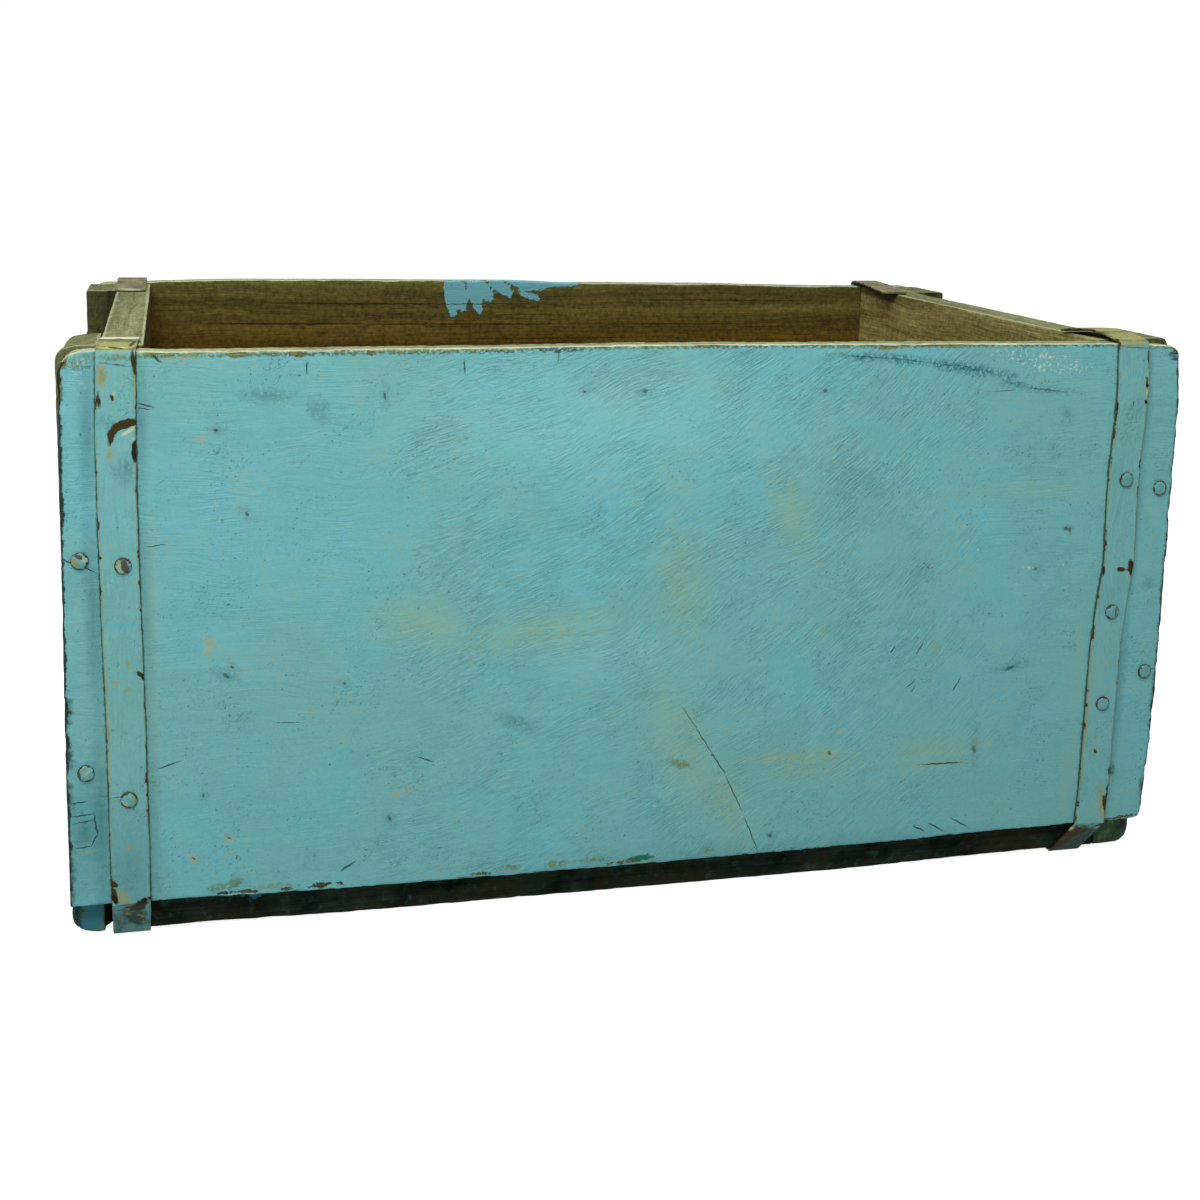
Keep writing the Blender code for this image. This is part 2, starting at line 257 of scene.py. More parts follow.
def finishMaterial(add, colour, roughness, height, specular):        # height is in millimetres
    bump = add("Bump", {"Strength": 1.0, "Distance": millimetre, "Height": height})
    shader = add("BsdfPrincipled", {"Base Color": colour, "Roughness": roughness, "Normal": bump,
                                    "Specular IOR Level": specular})
    add("OutputMaterial", shader)


def facingOf(add, way):        # how much the surface faces that way, from -1 to 1
    normal = add("NewGeometry", pick="Normal")
    return add("VectorMath", normal, way, pick="Value", operation="DOT_PRODUCT")


def streaks(add, place, sizes, turn=(0, 0, 0), detail=3):        # noise drawn out to sizes in millimetres
    local = add("Mapping", {"Vector": place, "Rotation": turn, "Scale": sizes}, vector_type="TEXTURE")
    return add("TexNoise", local, 1, detail, 0.62)


def alongGrain(grain, width, length):
    return tuple(length if axis == grain else width for axis in range(3))


def swayedPlace(add, place, size, reach):        # the place, drifting by up to half of reach
    drift = add("TexNoise", place, 1 / size, 1, 0.6, pick="Color")
    drift = add("VectorMath", drift, (0.5, 0.5, 0.5), operation="SUBTRACT")
    return add("VectorMath", place, add("VectorMath", drift, reach, operation="SCALE"))


def strayed(add, value, noise, reach):        # the value, off by up to half of reach
    return add("Math", add("Math", noise, -0.5), reach, value, operation="MULTIPLY_ADD")


def nearLines(add, place, lines):        # 0 on the nearest fine line of the front face, 1 at its rim
    nearest = None
    for x0, z0, x1, z1, halfWidth in lines:
        span = math.hypot(x1 - x0, z1 - z0)
        length = span / 2 + halfWidth
        along = ((x1 - x0) / span / length, 0, (z1 - z0) / span / length)
        across = ((z1 - z0) / span / halfWidth, 0, (x0 - x1) / span / halfWidth)
        local = add("VectorMath", place, (-(x0 + x1) / 2, 0, -(z0 + z1) / 2))
        share = add("VectorMath", local, along, pick="Value", operation="DOT_PRODUCT")
        aside = add("VectorMath", local, across, pick="Value", operation="DOT_PRODUCT")
        share = add("Math", share, share, operation="MULTIPLY")
        share = add("Math", aside, aside, share, operation="MULTIPLY_ADD")
        nearest = share if nearest is None else add("Math", nearest, share, operation="MINIMUM")
    return add("Math", nearest, 0.5, operation="POWER")


# How each kind of mark looks: its colour, how strongly it covers, over how many millimetres from its rim
# inwards it comes on, how far its outline strays, which flecks of it show, and how deep it lies.
markKinds = {
    # painted light: a paler coat where the light falls strongest
    "bloom": {"colour": "#8FD0D2", "strength": 0.4, "comesOn": (-6, 26), "strays": 14},
    # painted shade: a darker coat low down
    "gloom": {"colour": "#2F5E62", "strength": 0.45, "comesOn": (-8, 14), "strays": 14},
    "stains": {"colour": "#93B48C", "strength": 0.48, "comesOn": (-4, 8), "strays": 20, "flecks": 0.4},
    "shade": {"colour": "#3C7276", "strength": 0.55, "comesOn": (-1, 4), "strays": 3},
    "strips": {"colour": "#8DB3A2", "strength": 0.3, "comesOn": (-1, 3), "strays": 3},
    "dirt": {"colour": "#3D6E70", "strength": 0.55, "comesOn": (-2, 3), "strays": 5, "flecks": 0.4},
    "flaking": {"colour": "#8CBFC0", "strength": 0.75, "comesOn": (-0.4, 0.6), "strays": 3, "flecks": 0.5},
    "streak": {"colour": "#286A70", "strength": 0.8, "comesOn": (-1.2, 1.4), "strays": 4.5, "flecks": 0.45},
    "scuffs": {"colour": "#C6D8CF", "strength": 0.85, "comesOn": (-0.5, 1.5), "strays": 4, "flecks": 0.56},
    "tan": {"colour": "#9FA67C", "strength": 0.7, "comesOn": (-0.5, 0.6), "strays": 2, "flecks": 0.42},
    "olive": {"colour": "#6A835F", "strength": 0.8, "comesOn": (-0.3, 0.9), "strays": 3.5, "flecks": 0.4},
    "rimDark": {"colour": "#3F4E38", "strength": 0.85, "comesOn": (-0.4, 0.4), "strays": 3.4, "flecks": 0.43},
    "rimPale": {"colour": "#B6BE98", "strength": 0.85, "comesOn": (-0.3, 0.3), "strays": 3.4},
    "grime": {"colour": "#232C22", "strength": 0.85, "comesOn": (-0.8, 1.6), "strays": 6},
    "green": {"colour": "#1F6040", "strength": 0.9, "comesOn": (-0.3, 0.3), "strays": 3},
    "blue": {"colour": "#5FB2C4", "strength": 0.8, "comesOn": (-0.3, 0.4), "strays": 1.2},
    "khaki": {"colour": "#94985A", "strength": 0.75, "comesOn": (-0.6, 1.2), "strays": 3.5, "flecks": 0.36},
    "pale": {"colour": "#C9CFB0", "strength": 0.85, "comesOn": (-0.3, 0.3), "strays": 1.2},
    "darkLines": {"colour": "#2B4A48", "strength": 0.8, "comesOn": (-0.3, 0.2), "strays": 0.6},
    "rust": {"colour": "#3D341C", "strength": 1.0, "comesOn": (-0.2, 0.2), "strays": 1.8, "depth": 0.12},
    "darkRust": {"colour": "#222012", "strength": 1.0, "comesOn": (-0.2, 0.2), "strays": 1.6, "depth": 0.12},
}


def addMarks(add, place, colour, height, kinds):        # lays the marks on a colour and its relief
    jitter = add("Math", add("TexNoise", place, 1 / 2.4, 4, 0.6), -0.5)
    flecks = add("TexNoise", place, 1 / 1.4, 3, 0.6)
    for kind in kinds:
        how = markKinds[kind]
        inside = add("Attribute", pick="Fac", attribute_name=kind)
        inside = add("Math", jitter, how["strays"], inside, operation="MULTIPLY_ADD")
        cover = add("MapRange", inside, *how["comesOn"], 0, how["strength"])
        if "flecks" in how:
            shown = add("MapRange", flecks, how["flecks"] - 0.03, how["flecks"] + 0.08)
            cover = add("Math", cover, shown, operation="MULTIPLY")
        colour = add("Mix", cover, colour, how["colour"], data_type="RGBA")
        if "depth" in how:
            height = add("Math", cover, -how["depth"], height, operation="MULTIPLY_ADD")
    return colour, height


def slantedStrokes(add, place, drifting, look):        # where the brush went up to the right
    slant = (0, -math.radians(look["slantDegrees"]), 0)
    along = add("SeparateXYZ", place, pick="X")
    rise = add("Math", along, -0.0014, 0.12, operation="MULTIPLY_ADD")
    rise = add("Math", along, rise, operation="MULTIPLY")
    turning = add("VectorMath", drifting, add("CombineXYZ", {"Z": rise}))
    strokes = add("Math", streaks(add, turning, (9, 3, 1.3), slant, 4), -0.5)
    ridges = streaks(add, turning, (5, 2, 0.9), slant)
    strokes = add("Math", strokes, add("MapRange", ridges, 0.5, 0.56, -0.03, 0.11))
    return add("Math", strokes, add("MapRange", ridges, 0.41, 0.38, 0, -0.13))


def brushStrokes(add, place, look):        # ridges of brushed paint, about 1.1 mm apart
    drifting = swayedPlace(add, place, 60, 18)
    strokes = add("Math", streaks(add, drifting, alongGrain(look["grain"], 1.1, 26)), -0.5)
    if "slantedFrom" not in look:
        return strokes
    start, stop, fade = look["slantedFrom"], look["slantedTo"], 25
    across = add("SeparateXYZ", swayedPlace(add, place, 45, 110), pick="X")
    here = add("MapRange", across, start - fade, start + fade)
    here = add("Math", here, add("MapRange", across, stop + fade, stop - fade), operation="MULTIPLY")
    strokes = add("Math", strokes, 0.5, operation="MULTIPLY")
    return add("Mix", here, strokes, slantedStrokes(add, place, drifting, look))


def paintLayer(add, place, look):        # colour and relief of old brushed oil paint
    patches = add("MapRange", add("TexNoise", place, 1 / 75, 3, 0.6), 0.35, 0.65)
    colour = add("Mix", patches, look["paintBlue"], look["paintGreen"], data_type="RGBA")
    clouds = add("TexNoise", place, 1 / 15, 4, 0.6)
    colour = add("VectorMath", colour, add("MapRange", clouds, 0.3, 0.7, 0.955, 1.035), operation="SCALE")
    grit = add("TexNoise", place, 1 / 1.3, 2, 0.6)
    colour = add("VectorMath", colour, add("MapRange", grit, 0.3, 0.7, 0.96, 1.04), operation="SCALE")
    level = add("SeparateXYZ", place, pick="Z")
    # painted shade: the coat darker towards the floor
    floorShade = add("MapRange", level, 30, 170, 0.965, 1)        # towards the floor
    colour = add("VectorMath", colour, floorShade, operation="SCALE")
    vigour = add("MapRange", add("TexNoise", place, 1 / 26, 2, 0.6), 0.4, 0.62, 0.2, 1.1)
    vigour = add("Math", vigour, add("MapRange", level, 90, 200, 0.75, 1.25), operation="MULTIPLY")
    strokes = add("Math", brushStrokes(add, place, look), vigour, operation="MULTIPLY")
    colour = add("VectorMath", colour, add("MapRange", strokes, -0.2, 0.2, 0.9, 1.1), operation="SCALE")
    yellowed = add("Math", clouds, 0.8, grit, operation="MULTIPLY_ADD")
    colour = add("Mix", add("MapRange", yellowed, 1, 1.2, 0, 0.4), colour, "#93A679", data_type="RGBA")

    crowd = add("TexNoise", place, 1 / 20, 2, 0.6)        # where fine hairs and specks come close together
    hairs = streaks(add, swayedPlace(add, place, 9, 9), (3.2, 1.2, 0.45), (0, -0.75, 0), 1)
    hairs = add("MapRange", add("Math", crowd, 0.55, hairs, operation="MULTIPLY_ADD"), 0.93, 1.05, 0, 0.35)
    colour = add("Mix", hairs, colour, look["speck"], data_type="RGBA")
    specks = add("Math", crowd, 0.22, add("TexNoise", place, 1 / 1.7, 2, 0.6), operation="MULTIPLY_ADD")
    colour = add("Mix", add("MapRange", specks, 0.77, 0.84, 0, 0.75), colour, look["speck"], data_type="RGBA")

    height = add("Math", strokes, look["ridge"], operation="MULTIPLY")
    for layer, share in ((clouds, 0.35), (grit, 0.03), (hairs, -0.06)):
        height = add("Math", layer, share, height, operation="MULTIPLY_ADD")
    return colour, height


def bareWood(add, place, grain, dark, light):        # fibres 1.1 mm wide in growth bands 9 mm wide
    swayed = swayedPlace(add, place, 60, 8)
    fibres = streaks(add, swayed, alongGrain(grain, 1.1, 48), detail=4)
    bands = streaks(add, swayed, alongGrain(grain, 9, 300), detail=2)
    lines = streaks(add, swayed, alongGrain(grain, 2, 260), detail=2)        # dark lines between the bands
    speckle = add("TexNoise", place, 1 / 2.4, 5, 0.6)
    colour = add("Mix", add("MapRange", bands, 0.3, 0.7), dark, light, data_type="RGBA")
    for tone in (add("MapRange", fibres, 0.3, 0.7, 0.72, 1.22),
                 add("MapRange", speckle, 0.35, 0.65, 0.7, 1.3), add("MapRange", lines, 0.63, 0.68, 1, 0.6)):
        colour = add("VectorMath", colour, tone, operation="SCALE")
    return colour, fibres


def bareTimber(add, place, look, within):        # darkened inside, greyed on top
    level = add("SeparateXYZ", place, pick="Z")
    onTop = add("MapRange", facingOf(add, (0, 0, 1)), 0.5, 0.8)
    nearRim = add("MapRange", level, 225, 258)
    shades = []
    for shade in ("Dark", "Light"):
        inside = add("Mix", nearRim, look["inside" + shade], look["inside" + shade + "Rim"], data_type="RGBA")
        colour = add("Mix", within, look["worn" + shade], inside, data_type="RGBA")
        shades.append(add("Mix", onTop, colour, look["top" + shade], data_type="RGBA"))
    bare, fibres = bareWood(add, place, look["grain"], *shades)
    sawn = streaks(add, place, alongGrain(look["topGrain"], 0.9, 15), (0, 0, 0.12))
    sawn = add("Mix", onTop, 1, add("MapRange", sawn, 0.35, 0.65, 0.82, 1.14))
    bare = add("VectorMath", bare, sawn, operation="SCALE")
    edge = add("Attribute", pick="Fac", attribute_name="edge")
    paleEdge = add("Math", add("TexNoise", place, 1 / 6, 3, 0.6), -2.4, edge, operation="MULTIPLY_ADD")
    paleEdge = add("Math", add("MapRange", paleEdge, 0.5, -0.3, 0, 0.8), onTop, operation="MULTIPLY")
    return add("Mix", paleEdge, bare, look["topEdge"], data_type="RGBA"), fibres


def timberPaint(add, place, look):        # the coat with its marks, darker at the feet and beside the straps
    paint, relief = paintLayer(add, place, look)
    if "foot" in look:
        level = add("SeparateXYZ", place, pick="Z")
        level = strayed(add, level, add("TexNoise", place, 1 / 9, 3, 0.6), 30)
        paint = add("Mix", add("MapRange", level, 42, 27), paint, look["foot"], data_type="RGBA")
    paint, relief = addMarks(add, place, paint, relief, look.get("paintMarks", ()))
    if "besideStraps" in look:
        # dark line beside the straps: dirt in the joint and painted shade under the strap's proud edge
        gap = add("Attribute", pick="Fac", attribute_name="strapGap")
        gap = strayed(add, gap, add("TexNoise", place, 1 / 3, 4, 0.6), 1.6)
        paint = add("Mix", add("MapRange", gap, 0.8, 0.2, 0, 0.8), paint, "#2D3D2C", data_type="RGBA")
    return paint, relief


def whereBare(add, place, look, ragged, within):        # 1 where the paint has worn off or never was
    edge = add("Attribute", pick="Fac", attribute_name="edge")
    rubbed = add("Math", add("MapRange", ragged, 0.42, 0.7, -0.6, look["rub"]), edge, operation="SUBTRACT")
    upward = add("Math", ragged, 0.8, facingOf(add, (0, 0, 1)), operation="MULTIPLY_ADD")
    causes = [add("MapRange", upward, 0.93, 1.05), within]
    if "chips" in look.get("wornMarks", ()):
        chips = add("Attribute", pick="Fac", attribute_name="chips")
        chips = strayed(add, chips, add("TexNoise", place, 1 / 2.2, 5, 0.6), 3.5)
        causes.append(add("MapRange", chips, 0.1, 0.3))
    if "bareAbove" in look:        # the faces against the long boards were never painted
        level = add("SeparateXYZ", place, pick="Z")
        level = add("MapRange", level, look["bareAbove"], look["bareAbove"] + 3)
        across = add("Math", facingOf(add, (0, 1, 0)), operation="ABSOLUTE")
        causes.append(add("Math", level, add("MapRange", across, 0.5, 0.7), operation="MULTIPLY"))
    bareHere = add("MapRange", rubbed, -0.15, 0.15)
    for cause in causes:
        bareHere = add("Math", bareHere, cause, operation="MAXIMUM")
    return bareHere


def paintedTimber(name, look):        # softwood with brushed oil paint: soft sheen, worn off at the edges
    material, add, place = startMaterial(name)
    facing = facingOf(add, look["outside"])
    within = add("MapRange", facing, look["paintReach"], look["paintReach"] - 0.3)        # 1 inside
    ragged = add("TexNoise", place, 1 / 5, 5, 0.6)
    bare, fibres = bareTimber(add, place, look, within)
    paint, relief = timberPaint(add, place, look)
    bareHere = whereBare(add, place, look, ragged, within)
    if "patch" in look.get("wornMarks", ()):        # paint that ran over the rim on to the inside
        blot = add("Attribute", pick="Fac", attribute_name="patch")
        blot = strayed(add, blot, add("TexNoise", place, 1 / 2.6, 4, 0.6), 3)
        blot = add("MapRange", blot, -0.15, 0.15)
        bareHere = add("Mix", blot, bareHere, 0)
        paint = add("Mix", blot, paint, look["patchPaint"], data_type="RGBA")
    colour = add("Mix", bareHere, paint, bare, data_type="RGBA")

    if "endDirt" in look:        # dirt in the broken edges at the ends of the board
        ends = add("Attribute", pick="Fac", attribute_name="endGap")
        ends = strayed(add, ends, ragged, -4.5)
        dirt = add("MapRange", ends, look["endDirt"] + 0.4, look["endDirt"] - 0.2, 0, 0.92)
        dirt = add("Math", dirt, add("MapRange", facingOf(add, (0, 0, 1)), 0.7, 0.3), operation="MULTIPLY")
        colour = add("Mix", dirt, colour, "#1E2920", data_type="RGBA")

    relief = add("Mix", bareHere, relief, add("MapRange", fibres, 0, 1, -0.22, 0.22))
    relief = add("Math", relief, add("MapRange", bareHere, 0, 1, 0.16, 0))        # the coat's own thickness
    if "lines" in look:
        shaken = swayedPlace(add, place, 3, 1.2)
        onTheirSide = within if look["linesInside"] else add("MapRange", within, 1, 0)
        for lines, lineColour, strength, depth in look["lines"]:
            cover = add("MapRange", nearLines(add, shaken, lines), 1.15, 0.6, 0, strength)
            cover = add("Math", cover, onTheirSide, operation="MULTIPLY")
            colour = add("Mix", cover, colour, lineColour, data_type="RGBA")
            relief = add("Math", cover, -depth, relief, operation="MULTIPLY_ADD")
    finishMaterial(add, colour, add("MapRange", bareHere, 0, 1, 0.5, 0.85), relief, 0.03)
    return material


# Straps' routes: x, z of the middle line down the front, from the rim to the lower edge of the board
leftFrontRoute = (
    (-234.9, 261), (-235.5, 232), (-235.7, 195), (-235.3, 150), (-234.5, 105), (-234.1, 50), (-234, 19))
rightFrontRoute = (
    (231.4, 261), (232.7, 243), (232.6, 222), (231.4, 200), (232, 172), (232.6, 153), (230.4, 134),
    (229.1, 112), (228.6, 75), (228.6, 36), (227.7, 19))
strapHalfWidth = 8


def strapMiddle(route, heights):
    x, z = np.array(route[::-1]).T
    return np.interp(heights, z, x)


def beside(route, offset, halfWidth):        # marks along a strap's front, offset from its middle line
    spans = zip(route, route[1:])
    return tuple((x0 + offset, z0, x1 + offset, z1, halfWidth) for (x0, z0), (x1, z1) in spans)


rimRoute = ((-256, 257), (-247, 258.6), (-215, 259.1), (-173, 259.4), (-123, 259.8), (-60, 260.2),
            (-17, 260.8), (96, 260.7), (228, 260.3), (245, 259.4),
            (257, 258.4))        # x, z of the worn rim


def alongRim(start, stop, drop, halfWidth):        # overlapping marks on the front, drop below the worn rim
    step, marks = 14, []
    for x0 in range(start, stop - step, step):
        x1 = x0 + 2 * step
        z0, z1 = np.interp((x0, x1), *np.array(rimRoute).T) - drop
        marks.append((x0, z0, x1, z1, halfWidth))
    return tuple(marks)


frontMarks = {
    # x, z of both ends and the half width
    # painted light: a broad pale pool high in the middle and a smaller one lower down
    "bloom": ((-90, 228, 40, 228, 34), (-40, 120, 10, 120, 16)),
    # painted shade: darker low on the left end, under the left strap and along the bottom
    "gloom": ((-252, 40, -252, 62, 12), (-234, 0, -234, 34, 12), (-40, 12, 120, 12, 8)),
    # dark olive line under the worn rim: dirt, and painted shade below the rim's rounding
    "rimDark": (*alongRim(-228, -40, 1.1, 1.3), *alongRim(-40, 257, 0.6, 0.9),
                (-256, 254, -246, 253.4, 1.7), (-257.5, 250, -256.8, 240, 1.3)),
    "rimPale": (*alongRim(-228, -60, -0.2, 1.2), *alongRim(-60, 257, -0.6, 0.8)),
    "stains": ((6, 92, 22, 50, 15), (30, 60, 42, 30, 10), (8, 165, 14, 140, 13), (-84, 130, -30, 134, 11),
               (-120, 140, -96, 136, 12), (60, 62, 90, 60, 9), (120, 64, 158, 63, 8),
               (150, 190, 200, 190, 2.5), (60, 190, 66, 170, 10)),
    # painted shade beside both straps; the last mark darkens the knot in the left end
    "shade": beside(leftFrontRoute[::2], -11.5, 4) + beside(rightFrontRoute[::3], 9.5, 3)
             + beside(leftFrontRoute[::2], 10, 3) + ((-253, 51, -252, 54, 4),),
    "strips": ((-222.5, 232, -223.5, 20, 3.2), (216, 130, 214.5, 70, 3.5), (214.5, 75, 213.5, 22, 4.5)),
    "dirt": ((-180, 240.5, -168, 240, 3), (-155, 236, -153, 232, 2.5), (-195.5, 226, -194, 226, 1.5),
             (-190.5, 123.5, -189.5, 122.5, 1.2), (-194, 119.5, -190, 118, 2.5),
             (-183.5, 190.5, -182.5, 189, 1.6), (-125, 241, -124.5, 237, 1.2),
             (-37.6, 240.4, -37, 240.4, 1.2), (-203, 66.5, -203, 64.5, 0.9),
             (-122.5, 49.5, -121.5, 47.5, 1.4), (-142.5, 113, -141.8, 112.5, 1.1), (-11, 240, -8, 240, 1.6),
             (74, 239.5, 78, 239.5, 1.3), (198, 228, 200, 225, 1.6), (173, 102, 185, 104.5, 1.8),
             (162.2, 69, 162.4, 56, 1.5), (57, 26, 60, 25.5, 1.4), (188, 151.5, 190, 151, 1.2),
             (-70, 92, -60, 88, 3), (250.4, 141.6, 251, 141, 2.4), (-151, 236, -150, 232, 1.5)),
    "streak": ((83, 255.5, 104, 254, 1.2), (100, 254.5, 128, 252, 2.2), (124, 252.3, 168, 245.5, 2.3),
               (160, 246, 178, 239.8, 1.6), (172, 240, 197, 237.5, 1.0)),
    "scuffs": ((162, 256, 206, 249, 5), (170, 254, 196, 248, 4), (184, 152, 187, 151, 2),
               (203, 152.5, 206, 150.5, 2.2), (156.5, 162, 159, 162, 1), (177.5, 144, 178.5, 143.6, 0.9),
               (193.5, 143, 194.6, 142.2, 0.9), (1.2, 45.4, 2, 44.8, 0.8), (62, 200, 78, 200.6, 0.5)),
    "tan": ((-203, 223, -201.5, 222, 1.8), (-200.5, 136, -198.5, 133.5, 2.2),
            (-200.2, 130, -199.4, 129, 1.6), (-193.5, 45.6, -191, 45.2, 1.8), (-208.3, 38, -207, 36.5, 1.9),
            (-121, 60, -112, 62, 1.4), (46, 64.6, 84, 65.2, 0.9), (84, 66.5, 88, 63.5, 1.8),
            (125, 56, 160, 55.6, 0.7), (90, 75.4, 95, 76, 1), (170.4, 86, 171.4, 86, 0.7),
            (176.8, 85.6, 177.8, 85.6, 0.7), (76, 159, 78, 158, 1), (-217, 255.8, -200, 257.6, 1.2),
            (-257, 42.8, -250, 44, 0.6)),
    "olive": ((8, 66, 16, 64, 2.2), (-72, 20.5, -64, 20.6, 1.8), (-50, 20.4, -40, 21, 2),
              (-34, 21, -22, 21, 1.6), (26, 21.5, 30, 21.5, 1.6), (-255, 254, -243, 257, 2.6),
              (-257.8, 252, -257, 240, 2), (-236, 258.4, -150, 258.6, 1.6), (238, 260, 250, 259, 1.6),
              (-150, 258.6, -60, 259.6, 1.4), (-60, 259.8, 60, 260.2, 0.9), (-229, 258.5, -221, 258, 1.8),
              (-201, 22, -195, 23, 2), (-193, 23, -189, 25, 2.4), (-182, 21.5, -164, 21, 1.2),
              (60, 259.6, 180, 260, 1.2), (-128, 259.5, -90, 260, 1.1), (202.4, 170.8, 205.4, 170.2, 1.7),
              (205, 171.2, 205.6, 169, 1.5)),
    "flaking": ((-254, 254.5, -246, 255.5, 2.6), (-253, 250.5, -246, 251.5, 1.2),
                (-250, 247, -247, 245, 1.2)),
    "grime": ((-258, 112, -257.5, 104, 1.6), (-258.5, 92, -258, 84, 1.8), (-258, 74, -257.8, 66, 1.2),
              (-258.5, 40, -258.5, 24, 1.6), (238.4, 47.4, 238.5, 44.8, 1.7), (259, 235, 258.6, 190, 0.9),
              (258.8, 180, 258.6, 130, 0.8), (258.6, 110, 258.2, 60, 0.9), (256, 40, 257, 28, 1.4),
              (252, 255, 258, 252.4, 1.3)),
    "green": ((-10.5, 19.6, -1, 20.2, 1.5),),
}
frontChips = (
    (-197, 20, -191, 19.6, 0.9), (-189, 19.8, -181, 19.6, 1.1), (-170, 19.4, -165, 19.6, 0.9),
    (-157, 19.4, -148.5, 20, 1.3), (-145.5, 19.9, -143, 19.9, 0.9), (-86, 18.8, -76.5, 18.8, 0.9),
    (-21, 18.6, -6, 19, 0.9), (-190.2, 37.8, -189.6, 35.6, 0.8), (-260, 257, -259, 238, 2.4),
    (-256, 260, -246, 260.6, 2.2), (-259.4, 251, -255, 259, 3), (259.6, 254, 259, 243, 1.5),
    (241, 260.6, 250, 259.8, 1.2), (253, 259, 258, 255, 1.7), (-189, 257.9, -183, 257.8, 1.4),
    (-165, 257.7, -159, 257.5, 1.2), (-157, 259.2, -140, 259.5, 0.8), (-222, 259, -218, 258.6, 1.4),
    (101, 258.8, 109, 259, 1.2), (121, 260, 146, 260.2, 1.1), (-94, 259.8, -88, 260, 1.0),
    (-131.5, 258.6, -129.5, 258, 0.9), (12, 260.2, 26, 260.4, 0.8), (231, 19.4, 258, 21.3, 0.8))

# The same for these: x, z of both ends and the half width. The knot is in the left end.
frontCracks = (
    (12.5, 93, 20, 82, 0.15), (19, 83, 28.5, 68.5, 0.22), (28, 69, 35, 58.3, 0.35),
    (34.5, 58.6, 44.5, 38.3, 0.3), (44.5, 38.3, 53.7, 16.6, 0.25), (-144, 25.8, -137.7, 29.5, 0.5),
    (134, 55.9, 157, 55.5, 0.5), (-157.7, 254.6, -157.6, 249.4, 0.35), (-172, 97, -161, 96, 0.2),
    (128.8, 112, 132, 117.4, 0.35), (124.6, 95.4, 129, 99, 0.3), (127, 93, 129.6, 96, 0.25),
    (149, 92, 152.6, 99, 0.3), (115.4, 113, 117.4, 116.4, 0.3), (-90.6, 254.8, -90.5, 248.7, 0.4),
    (-49.2, 259, -49.1, 253.6, 0.2), (-222, 79, -212, 82.3, 0.35), (132, 25, 138.6, 21.4, 0.45),
    (140, 25.9, 149, 20.5, 0.45), (152, 27.3, 161.8, 21.8, 0.4), (-110.7, 77, -103, 74, 0.3),
    (-227, 238, -220, 236, 0.4), (-227, 236, -222, 235, 0.3), (-225, 177, -216.5, 177.8, 0.25),
    (-220.5, 257.6, -217, 254.8, 0.6), (-258, 66, -251, 66.6, 0.35), (-258.5, 173, -252, 170, 0.45),
    (-251.5, 170.5, -245, 166.5, 0.3), (257.5, 97.5, 252, 97.5, 0.4), (258, 255, 252, 255.6, 0.5),
    (258, 252.4, 252.6, 252.6, 0.5))
knotCracks = (
    (-258, 60, -248.5, 61, 0.35), (-248.5, 61, -247.4, 51, 0.4), (-247.6, 51, -250, 46.5, 0.3),
    (-250, 46.5, -257, 45.5, 0.25), (-257, 57, -249, 58, 0.2))
frontScratches = (
    (84, 255.4, 101.7, 254.4, 0.35), (101.7, 254.5, 127, 252, 0.35), (124, 252, 150, 249.4, 0.25),
    (176, 239.9, 197, 237.3, 0.4), (-235, 68, -247, 68.6, 0.2), (158, 238, 172, 238.4, 0.25))
frontSpecks = (
    (-190.5, 123.2, -189.7, 122.8, 0.6), (-195.8, 226.3, -195.2, 226.1, 0.8),
    (-183.2, 190.2, -183, 189.6, 0.8), (-125, 240.6, -124.8, 238.6, 0.7), (-37.6, 240.4, -37, 240.4, 0.5),
    (-203, 66, -203, 65, 0.5), (-122.5, 49.2, -122.2, 48.4, 0.9), (-142.4, 112.9, -142, 112.7, 0.5),
    (-10, 240.2, -9, 240.2, 0.9), (75.3, 239.5, 76.3, 239.5, 0.8), (176.5, 101.6, 180.5, 102.8, 0.9),
    (161.6, 63.6, 162.6, 60.6, 0.9), (58.2, 25.9, 59, 25.5, 0.9), (69.4, 18.5, 69.8, 18.3, 0.5),
    (-13.4, 31.6, -13, 31.6, 0.4), (28.3, 68.3, 28.7, 68.1, 0.6), (188, 151.4, 188.8, 151.2, 0.7),
    (86.4, 65.4, 87.2, 64.6, 0.9), (-192.9, 45.6, -192.1, 45.2, 0.5), (-207.9, 37.4, -207.3, 37, 0.5),
    (-193.2, 119.6, -192.2, 118.6, 0.9), (-130.8, 257.4, -130.4, 257, 0.5),
    (202.6, 170.9, 203.6, 170.5, 0.8), (205.2, 170.9, 205.5, 169.4, 0.7))

paintLook = {
    "grain": 0, "outside": (0, -1, 0), "paintBlue": "#72B7BD", "paintGreen": "#75B2B2", "speck": "#356062",
    "insideDark": "#483816", "insideLight": "#6D551E", "insideDarkRim": "#4B4725",
    "insideLightRim": "#716B39", "wornDark": "#43452C", "wornLight": "#85875F", "topDark": "#737859",
    "topLight": "#AAB28B", "topEdge": "#C2CAA6", "topGrain": 0, "rub": 0.9, "ridge": 0.6, "paintReach": -0.3,
}
frontLook = dict(paintLook, slantedFrom=-120, slantedTo=165, slantDegrees=34, endDirt=1.1, besideStraps=True,
                 paintMarks=tuple(frontMarks), wornMarks=("chips",), linesInside=False,
                 # fine lines, their colour, how strongly it covers, and their depth
                 lines=((frontCracks + knotCracks, "#243B3C", 0.8, 0.25), (frontSpecks, "#2E4A48", 0.7, 0.05),
                        (frontScratches, "#28606C", 0.7, 0.05)))
